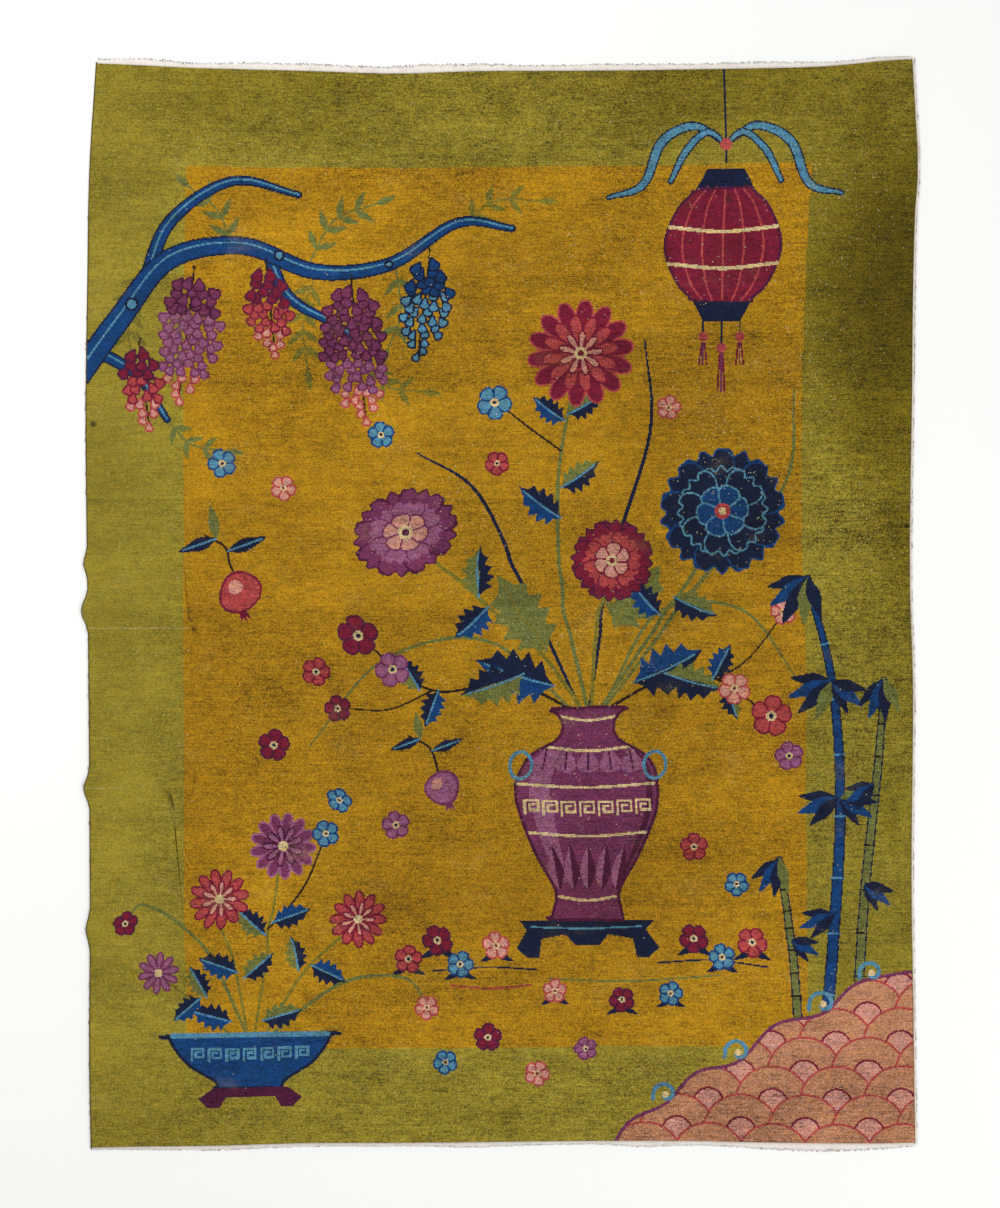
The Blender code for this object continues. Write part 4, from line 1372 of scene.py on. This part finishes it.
# THE WOVEN ENDS
# Past each end of the pile the cotton warps run on through a narrow flat-woven web, which keeps the knots
# from slipping off. Wear has frayed its outer edge into short, uneven warp ends.
WEB_BINS = 60
WEB_GAP = 0.3 * MM
WEB_ROWS = 6
WEB_RISE = 1.5 * MM
WEAVE_RISE = 0.35 * MM
EDGE_RISE = 0.6
# The woven share of each end's reach wavers from warp to warp, and steps from bunch to bunch.
WOVEN_SHARE = 0.80
WOVEN_LIMITS = (0.35, 0.95)
RAGGEDNESS = 0.35
WAVER_RUN = 9
WAVER = 0.5
BUNCH = 4
BUNCH_STEP = 0.11
DARK_SHARE = 0.45
DARKNESS = (0.3, 1)
# The frayed warps start inside the web's outer edge. Some of them are left, and they lean in clumps.
WARP_ROOT = 0.92
WARP_HEIGHT = 0.9 * MM
WARP_RADIUS = 0.75 * MM
WARPS_LEFT = 0.55
WARP_LENGTHS = (0.4, 1.15)
WARPS_A_CLUMP = 7
CLUMP_LEAN = 0.35
WARP_LEAN = 0.22
WARP_POINTS = 6
WARP_SWAY = (11 * MM, 6 * MM, 0)
SWAY_SCALE = 190.0
WARP_TAPER = 0.45
TIP_START_AND_END = (0.25, 0.7)
WARP_SEED = 9
COTTON = (0.88, 0.83, 0.77, 1)
SOILED_COTTON = (0.52, 0.44, 0.32, 1)
WARP_SHADOW = (0.20, 0.15, 0.10, 1)
DARK_TIP = (0.075, 0.055, 0.045, 1)
WARP_LINES = Pattern(1, (560, 18, 1))
LINE_TONE = 0.16
WARP_DEPTH = 0.4 * MM
COTTON_GRAIN = Pattern(0.10, 700)
SOILING = Blotches((14, 30, 1), 4, 0.6, -0.2, 1.1, 0.05, 1)
WARP_GAPS = Blotches((330, 8, 1), 1, 0.5, 0.5, 0.95, 0, 0.5)
DARK_TIPS = Blotches((60, 60, 1), 2, 0.5, -0.5, 0.4, 0.25, 1)
# up is the share of the length at the end, and outwards the way along Y.
End = namedtuple("End", "name node up outwards outline soil")
ENDS = [
    End("upper", "end_web_upper", 1, 1, HIGH, 0.45),
    End("lower", "end_web_lower", 0, -1, LOW, 0.55),
]


def web_reach(end):
    """The web's run along X and how far it and its fringe reach past the pile, read from the frame."""
    points = frame_points(end.node)
    start, stop = points[:, 0].min(), points[:, 0].max()
    out = end.outwards * (points[:, 1] - np.interp(points[:, 0], *end.outline))
    number = np.clip(((points[:, 0] - start) / (stop - start) * WEB_BINS).astype(int), 0, WEB_BINS - 1)
    furthest = np.zeros(WEB_BINS)
    np.maximum.at(furthest, number, out)
    furthest = np.convolve(np.pad(furthest, 1, mode="edge"), (0.25, 0.5, 0.25), "valid")
    middles = start + (np.arange(WEB_BINS) + 0.5) / WEB_BINS * (stop - start)
    return start, stop, middles, furthest


def new_cotton(name, soil):
    """Cotton warp, greyed by soil, with painted shadow in lines between the warps and dark tips where tip
    says so.
    """
    cotton = Finish(name, roughness=0.9, sheen=0.1, sheen_tint=(1, 0.95, 0.85))
    warp_lines = cotton.patterned(WARP_LINES)
    tone = 1 + warp_lines * LINE_TONE + cotton.patterned(COTTON_GRAIN)
    soiling = cotton.blotched(SOILING._replace(end=soil))
    colour = cotton.scaled(cotton.blend(soiling, COTTON, SOILED_COTTON), tone)
    colour = cotton.blend(cotton.blotched(WARP_GAPS), colour, WARP_SHADOW)
    colour = cotton.blend(cotton.attribute("tip") * cotton.blotched(DARK_TIPS), colour, DARK_TIP)
    cotton.close(colour, warp_lines, WARP_DEPTH)
    return cotton.material


warp_form = Form("frayed_warp", Radius=WARP_RADIUS, Curl=1.0)
ends = {"Start": (0, 0, 0), "End": (0, 1, 0)}
strand = warp_form.add("GeometryNodeCurvePrimitiveLine", {"mode": "POINTS"}, ends)
strand = warp_form.add("GeometryNodeResampleCurve", None, {"Curve": strand, "Count": WARP_POINTS})
lean = warp_form.vector(0, 0, warp_form.named("lean"))
reach = warp_form.vector(1, warp_form.named("reach"), 1)
strands = warp_form.spread(strand, lean, reach)
strands = warp_form.add("GeometryNodeRealizeInstances", None, {"Geometry": strands})
share = warp_form.add("GeometryNodeSplineParameter", None, None, "Factor")
sway = warp_form.wander(warp_form.add("GeometryNodeInputPosition"), SWAY_SCALE, 1.0, WARP_SWAY)
sway = warp_form.scaled(sway, share * warp_form.given("Curl"))
strands = warp_form.add("GeometryNodeSetPosition", None, {"Geometry": strands, "Offset": sway})
taper = {"Curve": strands, "Radius": 1 - share * WARP_TAPER}
strands = warp_form.add("GeometryNodeSetCurveRadius", None, taper)
tip = warp_form.between(share, *TIP_START_AND_END)
tip_sockets = {"Geometry": strands, "Name": "tip", "Value": tip}
strands = warp_form.add("GeometryNodeStoreNamedAttribute", None, tip_sockets)
girth = {"Resolution": 4, "Radius": warp_form.given("Radius")}
section = warp_form.add("GeometryNodeCurvePrimitiveCircle", {"mode": "RADIUS"}, girth)
tube_sockets = {"Curve": strands, "Profile Curve": section, "Fill Caps": True}
warp_form.close(warp_form.add("GeometryNodeCurveToMesh", None, tube_sockets))


def tube_faces(rings, sides):
    """The faces of a closed tube whose points run round it, one ring after another."""
    faces = []
    for ring in range(rings - 1):
        for i in range(sides):
            here, beside = ring * sides + i, ring * sides + (i + 1) % sides
            faces.append((here, here + sides, beside + sides, beside))
    last = (rings - 1) * sides
    return faces + [tuple(range(sides)), tuple(last + i for i in reversed(range(sides)))]


def make_web(end):
    """The web's closed mesh, its warps and wefts raised in a plain weave, and its ragged outer edge."""
    start, stop, middles, furthest = web_reach(end)
    count = 2 * KNOTS_ACROSS + 1
    chance = np.random.default_rng(WARP_SEED + end.up)
    x = np.linspace(start, stop, count)
    window = np.ones(WAVER_RUN) / WAVER_RUN
    ragged = np.convolve(chance.normal(0, 1, count + WAVER_RUN - 1), window, "valid") * WAVER
    ragged = ragged + np.repeat(chance.normal(0, BUNCH_STEP, count // BUNCH + 1), BUNCH)[:count]
    full = np.interp(x, middles, furthest)
    depth = full * np.clip(WOVEN_SHARE + RAGGEDNESS * ragged, *WOVEN_LIMITS)
    root = np.interp(x, *end.outline) + end.outwards * WEB_GAP
    across = (x - LEFT[1].mean()) / (RIGHT[1].mean() - LEFT[1].mean())
    lift = lift_at(np.clip(across, 0, 1), end.up)
    # The upper face's rows run outwards, and the underside comes back to the pile in one span.
    rows = []
    for row in range(WEB_ROWS):
        rise = WEB_RISE + WEAVE_RISE * (1 - 2 * ((np.arange(count) + row) % 2))
        rows.append((row, rise if row < WEB_ROWS - 1 else rise * EDGE_RISE))
    rows += [(WEB_ROWS - 1, 0), (0, 0)]
    sections = []
    for row, rise in rows:
        y = root + end.outwards * depth * row / (WEB_ROWS - 1)
        sections.append(np.column_stack([x, y, lift + rise]))
    faces = tube_faces(count, len(rows))
    if end.outwards < 0:
        faces = [face[::-1] for face in faces]
    mesh = new_mesh("web_" + end.name, np.stack(sections, 1).reshape(-1, 3), faces)
    dark = (chance.uniform(0, 1, count) < DARK_SHARE) * chance.uniform(*DARKNESS, count)
    tip = np.zeros((count, len(rows)))
    tip[:, WEB_ROWS - 1:WEB_ROWS + 1] = dark[:, None]
    mesh.attributes.new("tip", "FLOAT", "POINT").data.foreach_set("value", tip.ravel())
    warp_roots = np.column_stack([x, root + end.outwards * depth * WARP_ROOT, lift + WARP_HEIGHT])
    return mesh, warp_roots, full - WARP_ROOT * depth


for end in ENDS:
    cotton = new_cotton("cotton_warp_" + end.name, end.soil)
    web_mesh, warp_roots, reach_left = make_web(end)
    chance = np.random.default_rng(WARP_SEED + 2 + end.up)
    kept = np.flatnonzero(chance.uniform(0, 1, len(warp_roots)) < WARPS_LEFT)
    length = reach_left[kept] * chance.uniform(*WARP_LENGTHS, len(kept))
    clumps = chance.normal(0, CLUMP_LEAN, len(warp_roots) // WARPS_A_CLUMP + 1)
    lean = np.repeat(clumps, WARPS_A_CLUMP)[kept] + chance.normal(0, WARP_LEAN, len(kept))
    if end.outwards < 0:
        lean = lean + math.pi
    fray_seeds = seed_points("fray_" + end.name, warp_roots[kept], lean=lean, reach=length)
    fray = grown(fray_seeds, warp_form, cotton)
    web = add_piece("woven_end_" + end.name, web_mesh, cotton)
    fringe = add_piece("frayed_warp_" + end.name, fray, cotton)
    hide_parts(end.node)
    for piece in (web, fringe):
        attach(piece, "root")

# THE OVERCAST SIDES
# Each long side is bound with yarn wound closely over the outermost warps. On the right the cotton yarn
# shows as a pale cord, with loose dark fibres along it, partly real fibres and partly a painted shadow line
# along its outer edge. On the left it is thinner, and dyed like the border beside it.
PITCH_OF_YARN = 1.9
CORD_ENDS = 2 * MM
CORD_TOP = 7 * MM
WIDTH_PERCENTILE = 90
HEIGHT_PERCENTILE = 97
WRAP_SLANT = 0.32
WRAP_TURN = 0.12
WRAP_WIDTHS = (0.88, 1.12)
WRAP_HEIGHTS = (0.86, 1.0)
WRAP_SEED = 21
CORE_SIDES = 8
CORE_STEP = 8
CORE_INSET = 1.2
FIBRE_RADIUS = 0.38 * MM
FIBRE_HEIGHT = 1.2 * MM
FIBRE_ROOT = 0.42
FIBRES_A_CLUMP = 4
CLUMP_REACH = 3
FIBRE_STRAY = (0.08, 0.14)
FIBRE_LENGTHS = (4 * MM, 15 * MM)
FIBRE_CURL = 0.3
YARN_TONES = [Pattern(0.2, (200, 290, 200)), Pattern(0.12, (1, 60, 1))]
YARN_WEAR = Blotches((1, 9, 1), 4, 0.65, 0, 0.9, 0, 0.75)
YARN_RELIEF = Pattern(1, 1400)
# The loose fibres are dark, partly as real fibres and partly as a painted shadow line along the cord's outer
# edge.
LOOSE_FIBRE = (0.16, 0.12, 0.08, 1)
# across is the share of the width at the side, outwards the way along X, and yarn the yarn's radius.
Side = namedtuple("Side", "name node across outwards outline yarn fibres colour worn_colour")
DYED_YARN = (0.20, 0.145, 0.035, 1)
RUBBED_YARN = (0.55, 0.47, 0.3, 1)
PALE_YARN = (0.9, 0.82, 0.68, 1)
SOILED_YARN = (0.52, 0.43, 0.28, 1)
SIDES = [
    Side("left", "selvedge_left", 0, -1, LEFT, 1.1 * MM, 160, DYED_YARN, RUBBED_YARN),
    Side("right", "selvedge_right", 1, 1, RIGHT, 1.35 * MM, 700, PALE_YARN, SOILED_YARN),
]

wrap_form = Form("overcast_wrap", Radius=1 * MM)
loop = {"Resolution": 8, "Radius": 1.0}
loop = wrap_form.add("GeometryNodeCurvePrimitiveCircle", {"mode": "RADIUS"}, loop)
loop = wrap_form.add("GeometryNodeTransform", None, {"Geometry": loop, "Rotation": (math.pi / 2, 0, 0)})
turn = wrap_form.vector(0, 0, wrap_form.named("turn") + wrap_form.chance(-WRAP_TURN, WRAP_TURN, WRAP_SEED))
girth = wrap_form.vector(wrap_form.named("half_width"), 1, wrap_form.named("half_height"))
loops = wrap_form.add("GeometryNodeRealizeInstances", None, {"Geometry": wrap_form.spread(loop, turn, girth)})
section = {"Resolution": 4, "Radius": wrap_form.given("Radius")}
section = wrap_form.add("GeometryNodeCurvePrimitiveCircle", {"mode": "RADIUS"}, section)
wrap_form.close(wrap_form.add("GeometryNodeCurveToMesh", None, {"Curve": loops, "Profile Curve": section}))


def cord_route(side):
    """The middle of the cord at each wrap, and its width and height, read from the frame."""
    points = frame_points(side.node)
    low, high = points[:, 1].min() + CORD_ENDS, points[:, 1].max() - CORD_ENDS
    y = np.linspace(low, high, int((high - low) / (side.yarn * PITCH_OF_YARN)))
    gaps = side.outwards * (points[:, 0] - np.interp(points[:, 1], *side.outline))
    width = float(np.percentile(gaps, WIDTH_PERCENTILE))
    height = float(np.percentile(points[points[:, 2] < CORD_TOP, 2], HEIGHT_PERCENTILE))
    x = np.interp(y, *side.outline) + side.outwards * (WEB_GAP + width / 2)
    z = lift_at(side.across, (y - low) / (high - low)) + height / 2
    return np.column_stack([x, y, z]), width, height


def wrap_seeds(side, route, width, height):
    """A point for each wrap, with its heading and its half width and height, each a little uneven."""
    chance = np.random.default_rng(WRAP_SEED + side.across)
    turn = -np.arctan(np.gradient(route[:, 0], route[:, 1])) + side.outwards * WRAP_SLANT
    half_width = (width / 2 - side.yarn) * chance.uniform(*WRAP_WIDTHS, len(route))
    half_height = (height / 2 - side.yarn) * chance.uniform(*WRAP_HEIGHTS, len(route))
    return seed_points("wraps_" + side.name, route, turn=turn, half_width=half_width, half_height=half_height)


def make_core(side, route, width, height):
    """The plain cord of bunched warps that the yarn is wound on."""
    around = np.linspace(0, 2 * math.pi, CORE_SIDES, endpoint=False)
    half_width, half_height = width / 2 - CORE_INSET * side.yarn, height / 2 - CORE_INSET * side.yarn
    ring = np.column_stack([half_width * np.cos(around), 0 * around, half_height * np.sin(around)])
    rings = route[::CORE_STEP, None] + ring
    return new_mesh("edge_cord_" + side.name, rings.reshape(-1, 3), tube_faces(len(rings), CORE_SIDES))


def fibre_seeds(side, route, width):
    """Places and headings for loose fibres, which lie along the cord's outer edge in small clumps."""
    chance = np.random.default_rng(WRAP_SEED + 2 + side.across)
    clumps = chance.integers(0, len(route), side.fibres // FIBRES_A_CLUMP)
    count = FIBRES_A_CLUMP * len(clumps)
    rooted = np.repeat(clumps, FIBRES_A_CLUMP) + chance.integers(-CLUMP_REACH, CLUMP_REACH + 1, count)
    rooted = np.clip(rooted, 0, len(route) - 1)
    places = route[rooted].copy()
    places[:, 0] += side.outwards * width * FIBRE_ROOT
    places[:, 1] += chance.uniform(-MM, MM, count)
    places[:, 2] = lift_at(side.across, rooted / (len(route) - 1)) + FIBRE_HEIGHT
    stray = -side.outwards * np.abs(chance.normal(*FIBRE_STRAY, count))
    downwards = np.repeat(chance.uniform(0, 1, len(clumps)) < 0.5, FIBRES_A_CLUMP)
    lean = np.where(downwards, math.pi - stray, stray)
    reach = chance.uniform(*FIBRE_LENGTHS, count)
    return seed_points("fibres_" + side.name, places, lean=lean, reach=reach)


def new_yarn(name, colour, worn_colour):
    """Yarn of one colour, rubbed to another in places."""
    yarn = Finish(name, roughness=0.9, sheen=0.15, sheen_tint=(1, 0.95, 0.85))
    blended = yarn.blend(yarn.blotched(YARN_WEAR), colour, worn_colour)
    blended = yarn.scaled(blended, 1 + yarn.patterned(*YARN_TONES))
    yarn.close(blended, yarn.patterned(YARN_RELIEF), STRAND_DEPTH)
    return yarn.material


for side in SIDES:
    route, width, height = cord_route(side)
    yarn = new_yarn("overcast_yarn_" + side.name, side.colour, side.worn_colour)
    # Dark loose fibres: real fibres, and a painted shadow line along the cord's outer edge
    dark_fibre_yarn = new_yarn("loose_fibre_" + side.name, LOOSE_FIBRE, side.colour)
    wraps = grown(wrap_seeds(side, route, width, height), wrap_form, yarn, Radius=side.yarn)
    stray_seeds = fibre_seeds(side, route, width)
    fibres = grown(stray_seeds, warp_form, dark_fibre_yarn, Radius=FIBRE_RADIUS, Curl=FIBRE_CURL)
    binding = add_piece("overcast_side_" + side.name, wraps, yarn)
    core = add_piece("edge_cord_" + side.name, make_core(side, route, width, height), yarn)
    strays = add_piece("loose_fibres_" + side.name, fibres, dark_fibre_yarn)
    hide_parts(side.node)
    for piece in (binding, core, strays):
        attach(piece, "root")

# THE FLOOR, THE LIGHT AND THE CAMERA
# The rug lies on a plain pale floor, seen from straight above through a long lens.
FLOOR_SPAN = 400.0
FLOOR_DROP = 0.5 * MM
FLOOR_LOOKS = {"Base Color": (0.94, 0.94, 0.935, 1), "Roughness": 0.9, "Specular IOR Level": 0.1}
corners = [(x * FLOOR_SPAN, y * FLOOR_SPAN, -FLOOR_DROP) for x, y in [(-1, -1), (1, -1), (1, 1), (-1, 1)]]
pale = bpy.data.materials.new("pale_floor")
pale.use_nodes = True
for name, value in FLOOR_LOOKS.items():
    pale.node_tree.nodes["Principled BSDF"].inputs[name].default_value = value
add_piece("floor", new_mesh("floor", corners, [(0, 1, 2, 3)]), pale)

SKY_STRENGTH = 0.68
world = bpy.data.worlds.new("studio")
bpy.context.scene.world = world
world.use_nodes = True
world.node_tree.nodes["Background"].inputs["Color"].default_value = WHITE
world.node_tree.nodes["Background"].inputs["Strength"].default_value = SKY_STRENGTH
Lamp = namedtuple("Lamp", "name place size watts")
for lamp in [Lamp("key", (-4.5, 3.5, 4.5), 3.0, 205), Lamp("fill", (4.5, -2.5, 5.0), 4.0, 125)]:
    light = bpy.data.lights.new(lamp.name, "AREA")
    light.size = lamp.size
    light.energy = lamp.watts
    lamp_object = bpy.data.objects.new(lamp.name, light)
    lamp_object.location = lamp.place
    lamp_object.rotation_euler = (-Vector(lamp.place)).to_track_quat("-Z", "Y").to_euler()
    bpy.context.scene.collection.objects.link(lamp_object)

bpy.context.scene.view_settings.view_transform = "Standard"
LENS = 70.0
SENSOR = 36.0
SEEN_LENGTH = 3.946
SEEN_MIDDLE = (-0.0008, 0.009)
camera_data = bpy.data.cameras.new("camera")
camera_data.lens = LENS
camera_data.sensor_width = SENSOR
camera = bpy.data.objects.new("camera", camera_data)
camera.location = (*SEEN_MIDDLE, PILE_HEIGHT + SEEN_LENGTH * LENS / SENSOR)
bpy.context.scene.collection.objects.link(camera)
bpy.context.scene.camera = camera
